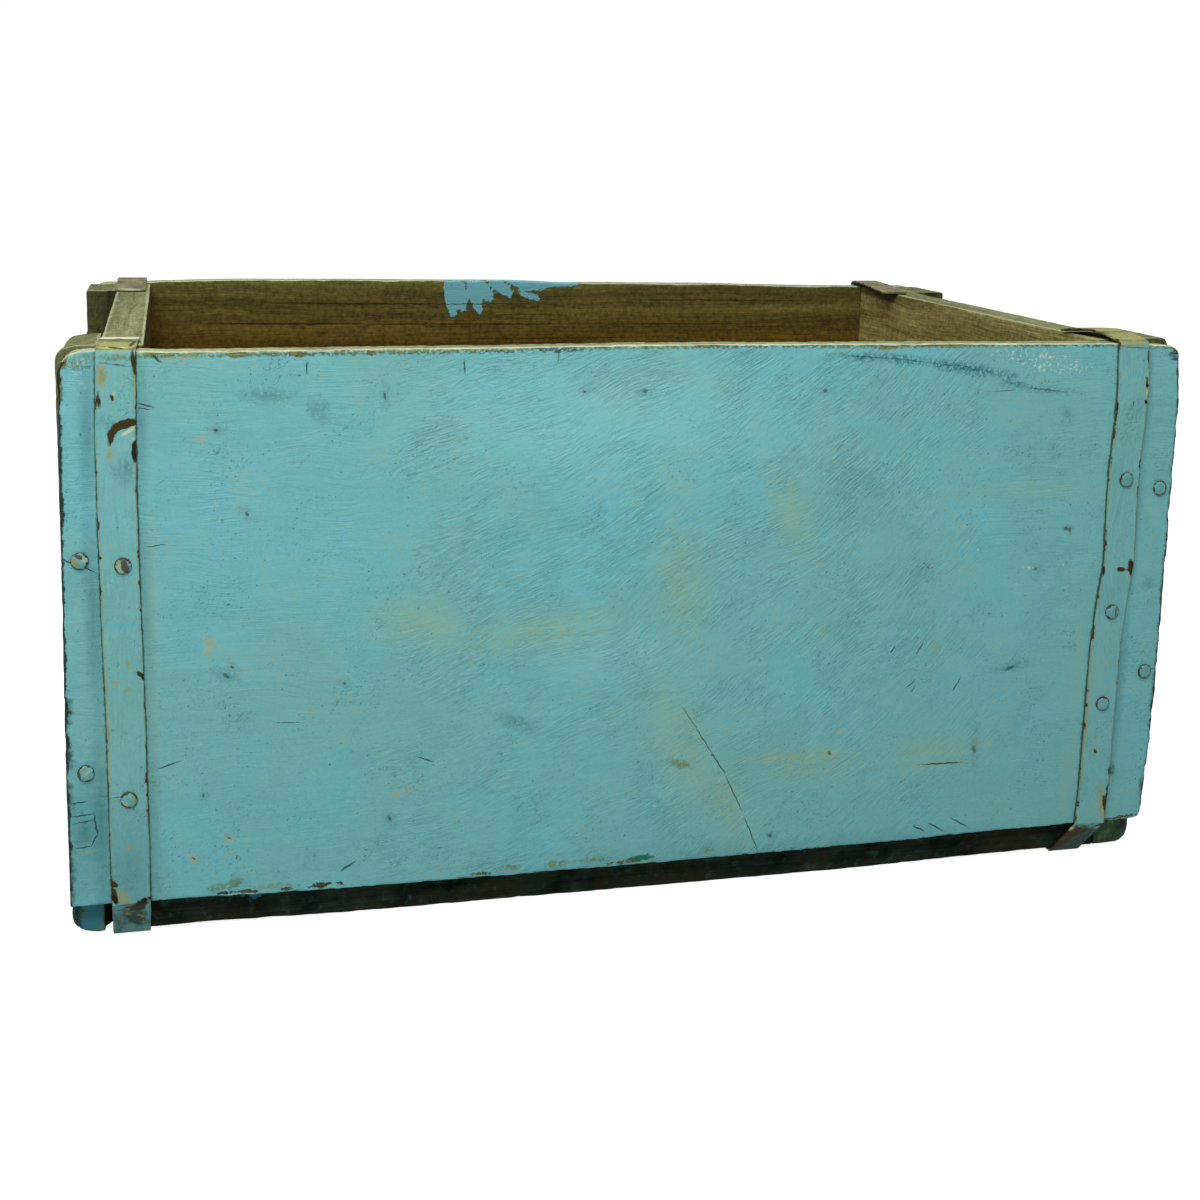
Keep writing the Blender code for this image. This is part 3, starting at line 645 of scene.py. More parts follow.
rearGrain = (
    (-150, 249.6, -40, 249.2, 0.5), (-90, 249, 12, 249.6, 0.35), (-200, 237.6, -90, 237.2, 0.7),
    (-110, 237.2, 40, 236.8, 0.6), (30, 237, 150, 236.6, 0.4), (-60, 228, 90, 228.4, 0.4),
    (60, 252, 200, 251.6, 0.35))
rearLook = dict(paintLook, outside=(0, 1, 0), linesInside=True, patchPaint="#6FAEB6", endDirt=1.1,
                wornMarks=("patch",), lines=((rearGrain, "#1D170B", 0.7, 0.1),))
rearPatch = (
    (-50, 262, -46, 243, 3.2), (-44, 262, -41, 249, 4.5), (-36, 262, -30, 246, 3.5),
    (-31, 262, -24, 254, 4), (-22, 264, -12, 256, 3.5), (-12, 264, 8, 259, 3), (5, 263, 30, 262, 2.5),
    (-4, 256, 6, 252.5, 2))

frontBoardLook = {
    "grain": 0, "cell": 1.2, "edgeRadius": 1.8, "fray": 0.22, "seed": 11, "swollenLow": 1.5,
    "swollenHigh": 1.4, "wornCorners": {(-1, 0, 1): 8.5, (1, 0, 1): 5, (1, 0, -1): 5},
    # end, from z, to z, depth
    "tapers": ((-1, 90, 255, 1.5), (1, 62, 24, 1.9), (1, 225, 261, 2.6)),
    # height of the edge, how far its bow reaches, x and rise along it
    "bows": ((261, 30, ((-258, -3.6), (-250, -1.7), (-240, -1.1), (-228, -1.4), (-215, -1.9), (-173, -1.6),
                        (-123, -1.2), (-60, -0.8), (-17, -0.2), (40, -0.1), (96, -0.3), (187, -0.5),
                        (228, -0.7), (245, -1.4), (258, -2.4))),
             (19, 45, ((-258, -0.1), (-215, -0.2), (-190, -0.9), (-150, -1.8), (-66, -2.3), (24, -2.2),
                       (113, -1.7), (160, -0.9), (190, -0.3), (258, 0)))),
    # x, y, z, how far it reaches and how deep it goes
    "bites": ((-259, -156, 205, 4, 0.3), (-259, -156, 173, 4, 0.3), (-259, -156, 150, 5, 0.3),
              (-259, -156, 110, 3, 0.5), (-259, -156, 92, 4, 0.4), (259, -156, 222, 4, 0.4),
              (259, -156, 198, 4, 0.4), (259, -156, 176, 3, 0.4), (259, -156, 152, 4, 0.3),
              (259, -156, 118, 4, 0.4), (259, -156, 76, 4, 0.3), (259, -156, 44, 4, 0.5),
              (-259, -156, 240, 6, 0.4), (-189, -156, 260, 5, 0.5), (-152, -156, 261, 8, 0.4),
              (-188, -156, 20, 5, 0.5), (-78, -156, 20, 6, 0.4), (120, -156, 260, 9, 0.4)),
    "besideStraps": (leftFrontRoute, rightFrontRoute),
    # each kind on the front face, from its x and z
    "marks": {kind: (((0, 2), -156, marks),) for kind, marks in dict(frontMarks, chips=frontChips).items()},
}
rearBoardLook = dict(frontBoardLook, cell=2.2, seed=23, swollenLow=0, swollenHigh=0,
                     marks={"patch": (((0, 2), 146, rearPatch),)},
                     bites=((-258, 156, 150, 9, 0.8), (258, 156, 60, 8, 0.9)),
                     bows=((261, 60, ((-258, 0.2), (-247, 0.4), (-222, 1.2), (-200, 2), (-175, 2.6),
                                      (-10, 2.6), (20, 1.4), (116, 1.2), (150, 0.5), (188, 0))),))

frontPaint = paintedTimber("brushed oil paint on pine board", frontLook)
rearPaint = paintedTimber("brushed oil paint on pine rear board", rearLook)
timber("front_board", frontBoardLook, frontPaint)
timber("rear_board", rearBoardLook, rearPaint)
print("side boards")


cleatPaintLook = dict(paintLook, grain=2, bareAbove=30, paintBlue="#62A0A4", paintGreen="#5B9290", rub=1.8,
                      insideDark="#2B2A18", insideLight="#4C4A2C", insideDarkRim="#2F2E1C",
                      insideLightRim="#504E30", topDark="#5B5D40", topLight="#7E815B", topEdge="#95976F",
                      paintReach=0.5)
feet = {"left": "#428894", "right": "#465C4A"}
cleatShape = {"grain": 2, "cell": 2.5, "edgeRadius": 1.6, "fray": 0.3, "footRadius": 8, "rearTopRadius": 1.6,
              "frontBows": ((261, 20, ((-258, -1.4), (-250, -0.3), (-241, 0), (237, 1.2), (258, 0.6))),)}
frontCleats = {
    # radius of the top corner, and marks by x and z; the left one is worn narrower beside the strap
    "left": {"topRadius": 6,
             "wornSides": (((-241.7, -145, 8), (6, 9, 16), -3.6), ((-258, -148, 130), (6, 14, 400), -1.5)),
             "grime": ((-259, 3, -257.5, 18, 3.6), (-258, 2, -246, 1, 1.6)),
             "olive": ((-256, 16, -254, 6, 1.5), (-249, 3, -247, 3, 1.5))},
    "right": {"topRadius": 4, "wornSides": (),
              "grime": ((237, 1, 250, 2, 1.6), (250, 6, 256, 14, 1.3), (238, 8, 239, 18, 1.2)),
              "olive": ((242, 5, 247, 9, 2), (247, 13, 252, 16, 2), (241, 15, 243, 17, 1.4))},
}


def cleatLook(side, end, facing):
    look = dict(cleatShape, seed=35 + end + 3 * facing)
    topRadius = cleatShape["rearTopRadius"]
    if facing < 0:
        front = frontCleats[side]
        topRadius = front["topRadius"]
        look.update(bows=cleatShape["frontBows"], wornSides=front["wornSides"],
                    marks={kind: (((0, 2), -145, front[kind]),) for kind in ("grime", "olive")})
    look["wornCorners"] = {(end, 0, -1): cleatShape["footRadius"], (end, 0, 1): topRadius}
    return look


def makeCleats():
    for side, end in (("left", -1), ("right", 1)):
        for face, facing in (("front", -1), ("rear", 1)):
            paint = dict(cleatPaintLook, outside=(end * 0.75, facing * 0.66, 0), foot=feet[side],
                         paintMarks=("grime", "olive") if facing < 0 else ())
            paint = paintedTimber("brushed oil paint on " + face + " " + side + " batten", paint)
            timber(face + "_" + side + "_cleat", cleatLook(side, end, facing), paint)


makeCleats()
print("cleats")


panelLook = {"grain": 1, "cell": 2.5, "edgeRadius": 1.6, "fray": 0.22, "seed": 41}
panelPaintLook = dict(paintLook, grain=1, bareAbove=20, topDark="#616545", topLight="#898F64",
                      topEdge="#A9AB86")
panelInside = {"left": {"insideDark": "#3F3316", "insideLight": "#5F4D22", "insideDarkRim": "#423A1C",
                        "insideLightRim": "#625629"},
               "right": {"insideDark": "#847638", "insideLight": "#C5B466", "insideDarkRim": "#777140",
                         "insideLightRim": "#B5AA6B"}}
slotLook = {"width": 96, "height": 28, "belowRim": 45, "flare": 2.2, "overrun": 0.4, "steps": 14,
            "sections": 6}


def handSlotCutter(panel, middleX, thickness, rim):        # round-ended bar that flares at both faces
    radius = slotLook["height"] / 2
    reach = slotLook["width"] / 2 - radius
    middleZ = rim - slotLook["belowRim"] - radius
    flare, overrun, sections = slotLook["flare"], slotLook["overrun"], slotLook["sections"]
    stations = []
    for section in range(sections + 1):        # from past one face to the middle
        rise = math.sin(math.pi / 2 * section / sections)
        stations.append((thickness / 2 + overrun - (flare + overrun) * rise, flare * (1 - rise) * 1.2))
    stations = [(-out, grow) for out, grow in stations] + stations[::-1]
    points = []
    for out, grow in stations:
        for end in (1, -1):
            for step in range(slotLook["steps"] + 1):
                angle = math.pi * (step / slotLook["steps"] - 0.5)
                points.append((middleX + out, end * (reach + (radius + grow) * math.cos(angle)),
                               middleZ + end * (radius + grow) * math.sin(angle)))
    around = 2 * (slotLook["steps"] + 1)
    faces = [list(range(around))[::-1], [len(points) - around + each for each in range(around)]]
    for ring in range(len(stations) - 1):
        for each in range(around):
            after = (each + 1) % around
            faces.append([ring * around + each, ring * around + after, (ring + 1) * around + after,
                          (ring + 1) * around + each])
    mesh = bpy.data.meshes.new(panel + "_hand_slot")
    mesh.from_pydata((np.array(points) * millimetre).tolist(), [], faces)
    return bpy.data.objects.new(panel + "_hand_slot", mesh)


def cutAway(piece, cutter):
    bpy.context.scene.collection.objects.link(cutter)
    cut = piece.modifiers.new("hand slot", "BOOLEAN")
    cut.operation = "DIFFERENCE"
    cut.object = cutter
    bpy.context.view_layer.update()
    shaped = bpy.data.meshes.new_from_object(piece.evaluated_get(bpy.context.evaluated_depsgraph_get()))
    piece.modifiers.clear()
    piece.data = shaped
    bpy.data.objects.remove(cutter)


def makePanels():
    for side, end in (("left", -1), ("right", 1)):
        node = side + "_end_panel"
        low, high = boxOf(node)
        paint = paintedTimber("brushed oil paint on " + side + " end panel",
                              dict(panelPaintLook, outside=(end, 0, 0), **panelInside[side]))
        panel = timber(node, dict(panelLook, seed=panelLook["seed"] + end), paint)
        cutter = handSlotCutter(node, (low[0] + high[0]) / 2, high[0] - low[0], high[2])
        cutAway(panel, cutter)


makePanels()
print("end panels")


# paint spilt on the front edge: x, z of both ends and the half width
spiltPaint = ((-186, 13.8, -178, 14.4, 2.1), (-183, 11.6, -179, 12, 1))
bottomLook = {"grain": 0, "cell": 2.4, "edgeRadius": 1.2, "fray": 0.2, "seed": 51,
              "bows": ((1.5, 60, ((-200, 0), (-160, -1), (-120, -1.4), (110, -1.4), (140, -0.9), (190, 0))),)}


def grimyTimber(name):        # bare pine, blackened by yard dirt: dull, greenish black
    material, add, place = startMaterial(name)
    edge = add("Attribute", pick="Fac", attribute_name="edge")
    fibres = streaks(add, place, alongGrain(0, 1.6, 60), detail=5)
    patches = add("MapRange", add("TexNoise", place, 1 / 18, 6, 0.6), 0.3, 0.7)
    colour = add("Mix", patches, "#10170F", "#323E32", data_type="RGBA")
    teal = add("MapRange", add("TexNoise", place, 1 / 5, 4, 0.6), 0.55, 0.68, 0, 0.5)
    colour = add("Mix", teal, colour, "#3A5D55", data_type="RGBA")
    colour = add("VectorMath", colour, add("MapRange", fibres, 0.3, 0.7, 0.6, 1.5), operation="SCALE")
    brown = add("MapRange", add("TexNoise", place, 1 / 34, 3, 0.6), 0.5, 0.62, 0, 0.5)
    colour = add("Mix", brown, colour, "#3A3021", data_type="RGBA")
    rubbed = add("MapRange", add("TexNoise", place, 1 / 4, 6, 0.6), 0.5, 0.75, -0.5, 2)
    rubbed = add("MapRange", add("Math", rubbed, edge, operation="SUBTRACT"), -0.2, 0.4, 0, 0.6)
    colour = add("Mix", rubbed, colour, "#4A3E2A", data_type="RGBA")
    spilt = nearLines(add, swayedPlace(add, place, 3, 5), spiltPaint)
    colour = add("Mix", add("MapRange", spilt, 1.05, 0.85, 0, 0.85), colour, "#3E7F8C", data_type="RGBA")
    floor = add("Mix", fibres, "#2B2314", "#5E4E2F", data_type="RGBA")        # the floor is less black
    colour = add("Mix", add("MapRange", facingOf(add, (0, 0, 1)), 0.6, 0.9), colour, floor, data_type="RGBA")
    finishMaterial(add, colour, 0.9, add("MapRange", fibres, 0, 1, -0.25, 0.25), 0.02)
    return material


def makeBottom():
    grime = grimyTimber("pine blackened with grime")
    for number in (1, 2, 3):
        look = dict(bottomLook, seed=bottomLook["seed"] + number)
        timber("bottom_board_" + str(number), look, grime)


makeBottom()
print("bottom boards")


# Straps

strapMarks = {
    # on the left strap x is below zero, on the right strap above
    # painted shade low on the left strap
    "gloom": ((-234, 20, -234, 46, 9),),
    "olive": ((-241, 257.2, -229, 256.6, 1.4), (-241, 252, -240, 248, 1.2), (-228.4, 252, -228.2, 246, 1.0)),
    "dirt": ((-232, 213, -230, 209, 3), (-236, 210, -233, 207, 1.6), (-240, 231, -238, 229, 1.5)),
    # grime; the wide marks on both feet, where the strap bends in under the bottom, are grime and painted
    # shade
    "grime": ((-240.5, 14, -239.5, 2, 1.4), (206, 5, 226, 11, 9), (206, 0, 232, 6, 8),
              (222, 18, 230, 16, 1.6), (-235, 12, -231, 8, 4.4), (-232, 14, -229, 12, 2.5),
              (-238, 11, -237, 6, 1.5)),
    "khaki": ((-240.5, 253.5, -240.5, 246, 2.2), (-242, 261, -230, 260.6, 1.8), (-242, 140, -242, 60, 0.7),
              (-227.6, 230, -227.4, 190, 1.1), (-239, 24, -236, 21, 2.6), (-236, 13.6, -235.4, 13.4, 1),
              (-231, 11.4, -230, 11, 1.3), (-229.4, 7, -229, 6.6, 1), (-235, 6.4, -234.4, 6, 1.1),
              (-238.5, 9, -238, 8.6, 1), (-232.8, 127, -232.6, 126.5, 1.6), (-238.4, 119, -238, 119, 1.2),
              (-233.6, 115.5, -233, 115.5, 1.3), (-237.5, 219, -238.5, 216, 1.6),
              (-227.3, 252, -227.2, 236, 1), (-235, 45, -234, 45, 1.4), (222.5, 260.4, 238.4, 260.2, 2),
              (239.4, 244, 239.8, 232, 1.1), (236.8, 189, 237, 188.4, 1), (232, 38, 236, 20, 2.6),
              (222, 100, 220.8, 60, 0.9), (227.5, 57, 227.6, 56.8, 1.4), (216, 14, 222, 17, 1.8),
              (209, 5, 213, 13, 1.3), (221, 9, 225, 13, 1.5), (214, 6, 218, 8, 1)),
    "blue": ((-242, 144.4, -229, 144, 0.9), (-228.5, 150, -228, 149, 1), (214, 17, 218, 18.5, 1.5),
             (234.5, 246, 235, 245, 1)),
    "pale": ((-233, 225, -228.6, 227.6, 0.8), (-236.5, 240.5, -235.8, 242.5, 0.5),
             (239.2, 256, 240.6, 248, 0.7), (240, 241, 239.8, 236, 0.5), (-228.6, 223.6, -228, 222, 0.5),
             (208.5, 12.5, 214.5, 15.4, 0.8), (214.5, 15.4, 222, 17.2, 0.7)),
    "rust": ((-238, 221.5, -236.8, 228, 1.2), (-237, 226, -234, 229.4, 1.6),
             (-235, 228.5, -228.5, 230.5, 1.9), (-242.2, 241.6, -241.8, 237, 0.9),
             (-236.8, 241.4, -236.4, 239.8, 0.7), (-228.2, 259, -227.4, 251.5, 0.9),
             (-242.2, 29.4, -240.6, 28.6, 1.3), (-242, 26.5, -240.6, 21, 1.5),
             (-228.4, 122.6, -227.6, 122, 1.0), (-234, 15.6, -229, 17, 1.4),
             (-233, 10.6, -231.6, 10.4, 0.9), (-231.4, 18.6, -227, 19.6, 1.2), (-237, 17.4, -231, 18, 0.6),
             (239.2, 257, 239.7, 250.4, 0.8), (240.4, 249.6, 240.6, 249, 0.6),
             (239.4, 255.4, 239.8, 254.8, 0.6), (239.4, 243.8, 239.8, 239, 0.6),
             (233.3, 232, 233.1, 230.6, 0.5), (237.8, 149.6, 241, 150.4, 1.3),
             (238.6, 153.5, 239.6, 147.5, 1.5), (232.4, 149.8, 235, 149.6, 1.2), (236, 38, 236.2, 21, 0.8),
             (234.4, 33, 235, 27, 0.9), (217, 12, 221, 14, 1.8), (221, 17, 224, 14, 1.6),
             (210, 3, 219, 7, 2.6), (219, 9, 227, 15, 1.9), (227.4, 57.2, 227.6, 56.8, 0.9),
             (232, 17.6, 236, 18, 0.8)),
    "darkRust": ((-227.9, 221.6, -228, 214.5, 1.4), (-226.9, 121.4, -226.6, 120.6, 0.9),
                 (-241.4, 23.4, -240.6, 20.6, 1.1), (-231.6, 19, -226.6, 20.6, 0.9),
                 (-230, 20.6, -227, 21.4, 0.7), (239.8, 240.4, 240, 239.8, 0.7),
                 (239.9, 232.6, 240, 231.8, 0.8), (224.4, 232, 224.7, 229, 0.7),
                 (236.6, 47.6, 236.8, 44.4, 1.0), (239.6, 152, 240.4, 148.6, 1.0),
                 (223.6, 151.6, 224.2, 148.4, 1.0), (219.6, 29, 221, 28.6, 0.5),
                 (219.6, 31, 221, 30.8, 0.5), (220.6, 82, 220.8, 80.8, 0.6), (239.4, 131, 239.4, 130, 0.5)),
    "darkLines": ((-241, 255, -231, 253.6, 0.3), (-242, 18.6, -231, 19.2, 0.3),
                  (-241, 15.6, -237, 16.4, 0.3), (222.8, 259.4, 230, 258.6, 0.3),
                  (230, 258.6, 238.6, 258, 0.4), (-242, 68, -237, 68.4, 0.2)),
}
foldMarks = {
    # the same on the folds over the rim: x, y of both ends and the half width
    "khaki": ((-241, -152, -227, -152, 5), (224, -151, 239, -151, 6), (222, -138, 236, -138, 4)),
    "pale": ((-241, -134, -226, -134, 1.6), (-239.5, -137.5, -235.5, -136, 3),
             (-230.5, -137.5, -227, -136, 3), (-241, 94.6, -230, 94.2, 0.8), (-240, -156, -229, -155.6, 0.5)),
    "rust": ((-229.4, -155, -227.2, -146, 0.8), (-238, -155.4, -233, -156.4, 0.7),
             (238.6, -154, 239.6, -144, 0.7)),
}


def paintedHoopIron(name):        # hoop iron under brushed oil paint: satin, rusting through at the edges
    material, add, place = startMaterial(name)
    edge = add("Attribute", pick="Fac", attribute_name="edge")
    grit = add("TexNoise", place, 1 / 2.5, 5, 0.6)
    ragged = add("TexNoise", place, 1 / 7, 6, 0.6)
    paint, relief = paintLayer(add, place, strapPaintLook)
    yellowed = add("Math", ragged, -2.6, edge, operation="MULTIPLY_ADD")
    yellow = add("Mix", grit, "#6B6F3E", "#94945A", data_type="RGBA")
    paint = add("Mix", add("MapRange", yellowed, -0.45, -1.1, 0, 0.55), paint, yellow, data_type="RGBA")
    foldPaint = add("Mix", add("MapRange", ragged, 0.38, 0.62), "#4A4526", "#7C7A4E", data_type="RGBA")
    foldPaint = add("VectorMath", foldPaint, add("MapRange", grit, 0.3, 0.7, 0.75, 1.25), operation="SCALE")
    upward = add("MapRange", facingOf(add, (0, 0, 1)), 0.45, 0.8)
    folded = add("Math", add("Attribute", pick="Fac", attribute_name="fold"), upward, operation="MAXIMUM")
    paint = add("Mix", folded, paint, foldPaint, data_type="RGBA")
    paint, relief = addMarks(add, place, paint, relief, strapMarks)

    worn = add("Math", add("MapRange", ragged, 0.5, 0.74, -0.6, 1.5), edge, operation="SUBTRACT")
    worn = add("MapRange", worn, -0.1, 0.15)
    rust = add("Mix", grit, "#2A2412", "#5F4A26", data_type="RGBA")
    colour = add("Mix", worn, paint, rust, data_type="RGBA")
    beneath = add("MapRange", facingOf(add, (0, 0, -1)), 0.5, 0.9)
    grime = add("Mix", grit, "#1E1A12", "#3E3020", data_type="RGBA")
    colour = add("Mix", beneath, colour, grime, data_type="RGBA")
    height = add("Math", add("MapRange", worn, 0, 1, 0.12, 0), relief)
    height = add("Math", grit, 0.08, height, operation="MULTIPLY_ADD")
    finishMaterial(add, colour, add("MapRange", worn, 0, 1, 0.5, 0.85), height, 0.04)
    return material


strapPaintLook = dict(paintLook, grain=2, paintBlue="#74B2B6", paintGreen="#73B0AE", ridge=0.3)
strapLook = {"width": 2 * strapHalfWidth, "thickness": 1.2, "edgeRadius": 0.4, "cell": 0.8, "bend": 1.8,
             # where the marks of the front and of the folds lie, and where a fold begins and ends
             "frontLevel": -152.4, "foldLevel": 262, "foldAbove": 260, "foldWithin": 156.5}


def roundedRoute(stations, radius):        # the route with each sharp turn made an arc
    stations = np.array(stations, float)
    route = [stations[0]]
    for before, corner, after in zip(stations, stations[1:], stations[2:]):
        inward, onward = before - corner, after - corner
        inLength, outLength = np.linalg.norm(inward), np.linalg.norm(onward)
        inward, onward = inward / inLength, onward / outLength
        turn = math.pi - math.acos(np.clip(inward @ onward, -1, 1))
        if turn < math.radians(8):
            route.append(corner)
            continue
        cut = min(radius * math.tan(turn / 2), inLength / 2.2, outLength / 2.2)
        start, end = corner + inward * cut, corner + onward * cut
        steps = max(2, round(math.degrees(turn) / 12))
        for step in range(steps + 1):
            share = step / steps
            route.append((1 - share) ** 2 * start + 2 * share * (1 - share) * corner + share ** 2 * end)
    route.append(stations[-1])
    return np.array(route)


def evenRoute(route, cell):        # stations cell apart at most, with all the route's own points
    stations = [route[0]]
    for start, end in zip(route, route[1:]):
        steps = max(1, math.ceil(np.linalg.norm(end - start) / cell))
        for step in range(1, steps + 1):
            stations.append(start + (end - start) * step / steps)
    return np.array(stations)


def hoopIron(node, stations, seed, material):        # one ribbon, bent along the stations
    width, thickness, radius = strapLook["width"], strapLook["thickness"], strapLook["edgeRadius"]
    route = evenRoute(roundedRoute(stations, strapLook["bend"]), strapLook["cell"])
    gaps = np.linalg.norm(np.diff(route, axis=0), axis=1)
    travel = np.concatenate([[0], np.cumsum(gaps)])
    length = travel[-1]
    low, high = np.array((0, -width / 2, 0)), np.array((length, width / 2, thickness))
    edge = radius * np.array(edgeLineShares)
    between = travel[(travel > radius) & (travel < length - radius)]
    along = np.unique(np.concatenate([edge, between, length - edge]))
    points, faces = latticeSkin([along, latticeLine(low[1], high[1], strapLook["cell"], radius),
                                 latticeLine(low[2], high[2], 1.0, radius)])
    edgeGap = np.minimum(points - low, high - points)[:, :2].min(axis=1)
    points = roundEdges(points, low, high, np.full(len(points), radius))[0]

    tangents = np.gradient(route[:, 1:], travel, axis=0)
    tangents /= np.linalg.norm(tangents, axis=1, keepdims=True)
    middle = np.stack([np.interp(points[:, 0], travel, route[:, axis]) for axis in range(3)], 1)
    tangent = np.stack([np.interp(points[:, 0], travel, tangents[:, axis]) for axis in range(2)], 1)
    tangent /= np.linalg.norm(tangent, axis=1, keepdims=True)
    outY, outZ = tangent[:, 1], -tangent[:, 0]

    ribbon = points * (1, 0, 0)
    across = points[:, 1] * (1 + 0.012 * swell(ribbon, 22, seed))
    upright = np.clip(1 - np.abs(outZ) * 2, 0, 1)
    lift = upright * np.clip(0.12 + 0.16 * swell(points * (1, 0.6, 0), 34, seed + 1), 0, 0.6)
    rise = points[:, 2] + lift
    placed = np.stack([middle[:, 0] + across + 0.15 * swell(ribbon, 30, seed + 2), middle[:, 1] + outY * rise,
                       middle[:, 2] + outZ * rise], 1)
    piece = addPiece(node, placed, faces.tolist(), material)
    keepValue(piece, "edge", edgeGap)
    overRim = np.clip((placed[:, 2] - strapLook["foldAbove"]) / 2, 0, 1)
    keepValue(piece, "fold", overRim * np.clip(strapLook["foldWithin"] - np.abs(placed[:, 1]), 0, 1))
    front, fold = strapLook["frontLevel"], strapLook["foldLevel"]
    keepMarks(piece, placed, {kind: (((0, 2), front, marks), ((0, 1), fold, foldMarks.get(kind, ())))
                              for kind, marks in strapMarks.items()})


def makeStraps():
    paint = paintedHoopIron("painted hoop iron with rust")
    boardLow, boardHigh = boxOf("front_board")
    gap = 0.3
    rim, foot = boardHigh[2] + gap, boardLow[2]
    face, under = -boardLow[1] + gap, strapLook["thickness"]
    inner = boxOf("left_end_panel")[1][1] + gap

    leftX = -234
    left = [(leftX + 0.6, -face + 24, rim + 0.1), (leftX - 0.2, -face + 11, rim)]
    left += [(x, -face, min(z, rim - 1.7)) for x, z in leftFrontRoute]
    left += [(leftX - 0.2, -inner, under), (leftX, 0, under), (leftX, inner, under), (leftX, face, foot),
             (leftX, face, rim + 0.8), (leftX, face - 4, rim + 1.6), (leftX, face - 25, rim + 1.3),
             (leftX, face - 47, rim + 0.4), (leftX, face - 63, rim)]
    hoopIron("left_strap", left, 61, paint)

    rightX = 229.5
    right = [(rightX - 4.2, -face + 44, rim), (rightX - 2.6, -face + 33, rim + 1.75),
             (rightX - 1.2, -face + 22, rim + 2.5), (rightX + 0.4, -face + 11, rim + 1.7)]
    right += [(x, -face, min(z, rim - 0.5)) for x, z in rightFrontRoute]
    right += [(rightX - 8, -inner, under), (rightX - 3.5, 0, under), (rightX - 3.5, inner, under),
              (rightX - 3.5, face, foot), (rightX - 3.5, face, rim + 0.8),
              (rightX - 3.7, face - 4, rim + 1.6), (rightX - 6, face - 28, rim + 1.3),
              (rightX - 9, face - 52, rim + 0.4),
              (rightX - 12.4, face - 70, rim)]
    hoopIron("right_strap", right, 67, paint)


makeStraps()
print("straps")


# Nails

nailLook = {
    "sides": 24, "headRadius": 3.7, "headHeight": 1.3, "shankRadius": 1.4, "point": 4,
    # the head from its crown to its rim, as shares of its radius and its height
    "domeShares": ((0.0, 0.04), (0.35, 0.0), (0.6, 0.06), (0.8, 0.2), (0.93, 0.42), (1.0, 0.7),
                   (0.99, 0.95), (0.95, 1.0)),
}
nailMarks = (
    # x, z of both ends and the half width; colour; strength
    (((-250, 173, -247, 172, 1.3), (-236.5, 171, -235, 168, 1.6), (-236.6, 66.5, -234.5, 64.6, 0.8),
      (-252, 79, -250, 80.6, 0.7)), "#A3B59A", 0.6),
    (((-254.2, 173.4, -252, 170.6, 1.1), (-253, 81, -250.5, 82.4, 0.5), (-235.5, 172.4, -238.2, 169, 0.8),
      (226, 197, 227.5, 191.5, 0.6), (-237.6, 68.4, -236, 70, 0.6), (-231.6, 65.4, -231.4, 68.6, 0.6)),
     "#8B8B4E", 0.8),
    (((-233.6, 171.5, -232.8, 167.8, 1.5), (-252.6, 174.6, -250.6, 173.4, 0.8),
      (-236.4, 69.6, -234, 70.4, 0.7), (-254.6, 80.8, -253.8, 78.2, 0.7),
      (254.8, 190.3, 255.4, 187.6, 0.8), (231.6, 131, 232, 126, 0.5)),
     "#4B351B", 0.9),
)


def paintedNail(name):        # round wire nail brushed over with the boards: satin, with rust and painted shade round its head
    material, add, place = startMaterial(name)
    patches = add("MapRange", add("TexNoise", place, 1 / 6, 4, 0.6), 0.3, 0.7)
    paint = add("Mix", patches, "#6CABAD", "#5E9896", data_type="RGBA")
    grit = add("TexNoise", place, 1 / 1.8, 4, 0.6)
    shaken = swayedPlace(add, place, 2, 1.2)
    for marks, markColour, strength in nailMarks:
        cover = add("MapRange", nearLines(add, shaken, marks), 1.1, 0.8, 0, strength)
        paint = add("Mix", cover, paint, markColour, data_type="RGBA")
    # dark ring at the head's rim: rust, darkened further as painted shade where the head meets the board
    rim = add("Attribute", pick="Fac", attribute_name="rim")
    worn = add("MapRange", add("Math", rim, grit), 1.33, 1.41)
    rust = add("Mix", grit, "#1D1E14", "#4F4527", data_type="RGBA")
    colour = add("Mix", worn, paint, rust, data_type="RGBA")
    finishMaterial(add, colour, 0.5, add("Math", grit, 0.15, operation="MULTIPLY"), 0.15)
    return material


def nailFaces(rings, sides, turned):        # from the crown's point over the rings to the tip
    each = np.arange(sides)
    after = (each + 1) % sides
    last = 1 + (rings - 1) * sides
    faces = np.stack([np.zeros(sides, int), 1 + each, 1 + after], 1).tolist()
    for start in range(1, last, sides):
        below = start + sides
        faces += np.stack([start + each, below + each, below + after, start + after], 1).tolist()
    faces += np.stack([last + after, last + each, np.full(sides, last + sides)], 1).tolist()
    return [face[::-1] for face in faces] if turned else faces


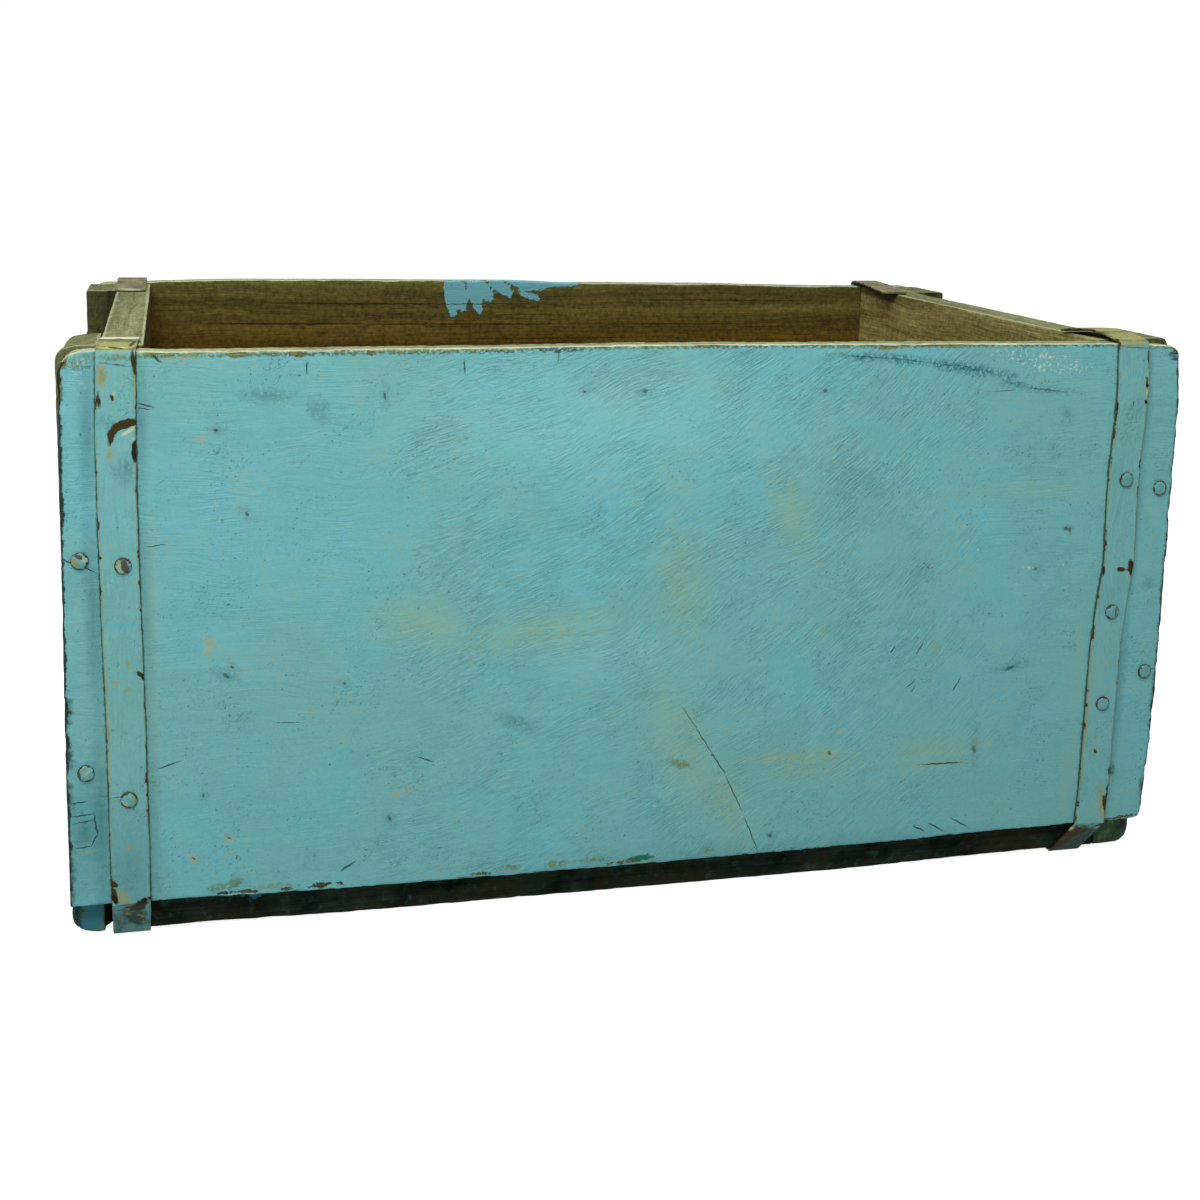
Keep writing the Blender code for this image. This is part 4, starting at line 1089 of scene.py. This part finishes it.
def nailHead(node, number, material):
    low, high = boxOf(node)
    axis = int(np.argmax(high - low))
    others = [each for each in range(3) if each != axis]
    outward = 1 if node.startswith("rear") or (node.startswith("right") and "_cleat_" in node) else -1
    crown, tip = (high[axis], low[axis]) if outward > 0 else (low[axis], high[axis])
    draw = np.random.default_rng(900 + number)
    radius, height, shank = nailLook["headRadius"], nailLook["headHeight"], nailLook["shankRadius"]
    length = abs(crown - tip)
    profile = [(share * radius, depth * height) for share, depth in nailLook["domeShares"]]
    profile += [(shank, height), (shank, length - nailLook["point"]), (0.1, length)]
    sides = nailLook["sides"]
    angles = np.arange(sides) * 2 * math.pi / sides
    squash = 1 - 0.05 * np.abs(np.sin(angles + draw.uniform(0, 6))) * draw.uniform(0, 1)
    middle = (low + high) / 2
    reaches, depths = np.array(profile[1:]).T
    points = np.tile(middle, (len(reaches), sides, 1))
    points[..., others[0]] += reaches[:, None] * squash * np.cos(angles)
    points[..., others[1]] += reaches[:, None] * squash * np.sin(angles)
    points[..., axis] = (crown - outward * depths)[:, None]
    crownPoint, tipPoint = middle.copy(), middle.copy()
    crownPoint[axis] = crown - outward * profile[0][1]
    tipPoint[axis] = tip
    points = np.concatenate([crownPoint[None], points.reshape(-1, 3), tipPoint[None]])
    rims = np.where(depths <= height, np.minimum(reaches / radius, 1), 1).repeat(sides)

    faces = nailFaces(len(reaches), sides, (axis != 1) == (outward > 0))
    piece = addPiece(node, points, faces, material)
    piece.data.set_sharp_from_angle(angle=math.radians(50))
    keepValue(piece, "rim", np.concatenate([[0.0], rims, [1.0]]))


def makeNails():
    paint = paintedNail("painted nail")
    nails = sorted(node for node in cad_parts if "_nail_" in node)
    for number, node in enumerate(nails):
        nailHead(node, number, paint)


makeNails()
print("nails")


# Stage

stageLook = {"floorSize": 8, "floorGap": 0.3, "floorColour": "#C0C0BE", "glow": 0.9, "worldLight": 0.2,
             # each lamp: place, size and power in watts
             "lamps": (("key", (-0.27, -0.74, 0.97), 0.7, 10.6), ("top", (0.1, 0.35, 1.6), 1.2, 11))}


def seenDirectly(add):        # 1 for the camera and for what shows in or through a surface
    seen = 0
    for ray in ("Is Camera Ray", "Is Glossy Ray", "Is Transmission Ray"):
        seen = add("Math", seen, add("LightPath", pick=ray), operation="MAXIMUM")
    return seen


def makeFloor():
    bpy.ops.mesh.primitive_plane_add(size=stageLook["floorSize"])
    floor = bpy.context.object
    floor.name = "floor"
    floor.location.z = -stageLook["floorGap"] * millimetre        # just clear of the straps' undersides
    material = bpy.data.materials.new("pale studio floor")
    add = nodeAdder(material)
    matt = add("BsdfDiffuse", stageLook["floorColour"])
    glow = add("Math", seenDirectly(add), stageLook["glow"], operation="MULTIPLY")
    add("OutputMaterial", add("AddShader", matt, add("Emission", {"Strength": glow})))
    floor.data.materials.append(material)


def makeWorld():
    world = bpy.data.worlds.new("studio")
    bpy.context.scene.world = world
    add = nodeAdder(world)
    strength = add("MapRange", seenDirectly(add), 0, 1, stageLook["worldLight"], 1)
    add("OutputWorld", add("Background", "#FFFFFF", strength))


def makeLamps():
    for name, place, size, power in stageLook["lamps"]:
        lamp = bpy.data.lights.new(name, "AREA")
        lamp.size = size
        lamp.energy = power
        holder = bpy.data.objects.new(name, lamp)
        holder.location = place
        aim = Vector((0, 0, 0.13)) - holder.location
        holder.rotation_euler = aim.to_track_quat("-Z", "Y").to_euler()
        bpy.context.scene.collection.objects.link(holder)


cameraLook = {"place": (-0.21216, -0.86229, 0.34795), "turnDegrees": (79.94146, -1.42167, -14.23795),
              "lens": 50.207, "sensor": 36, "shiftY": -0.13333}


def makeCamera():
    lens = bpy.data.cameras.new("camera")
    lens.lens = cameraLook["lens"]
    lens.sensor_width = cameraLook["sensor"]
    lens.shift_y = cameraLook["shiftY"]
    holder = bpy.data.objects.new("camera", lens)
    holder.location = cameraLook["place"]
    holder.rotation_euler = [math.radians(turn) for turn in cameraLook["turnDegrees"]]
    bpy.context.scene.collection.objects.link(holder)
    bpy.context.scene.camera = holder


makeFloor()
makeWorld()
makeLamps()
makeCamera()
bpy.context.scene.view_settings.view_transform = "Standard"
print("stage")
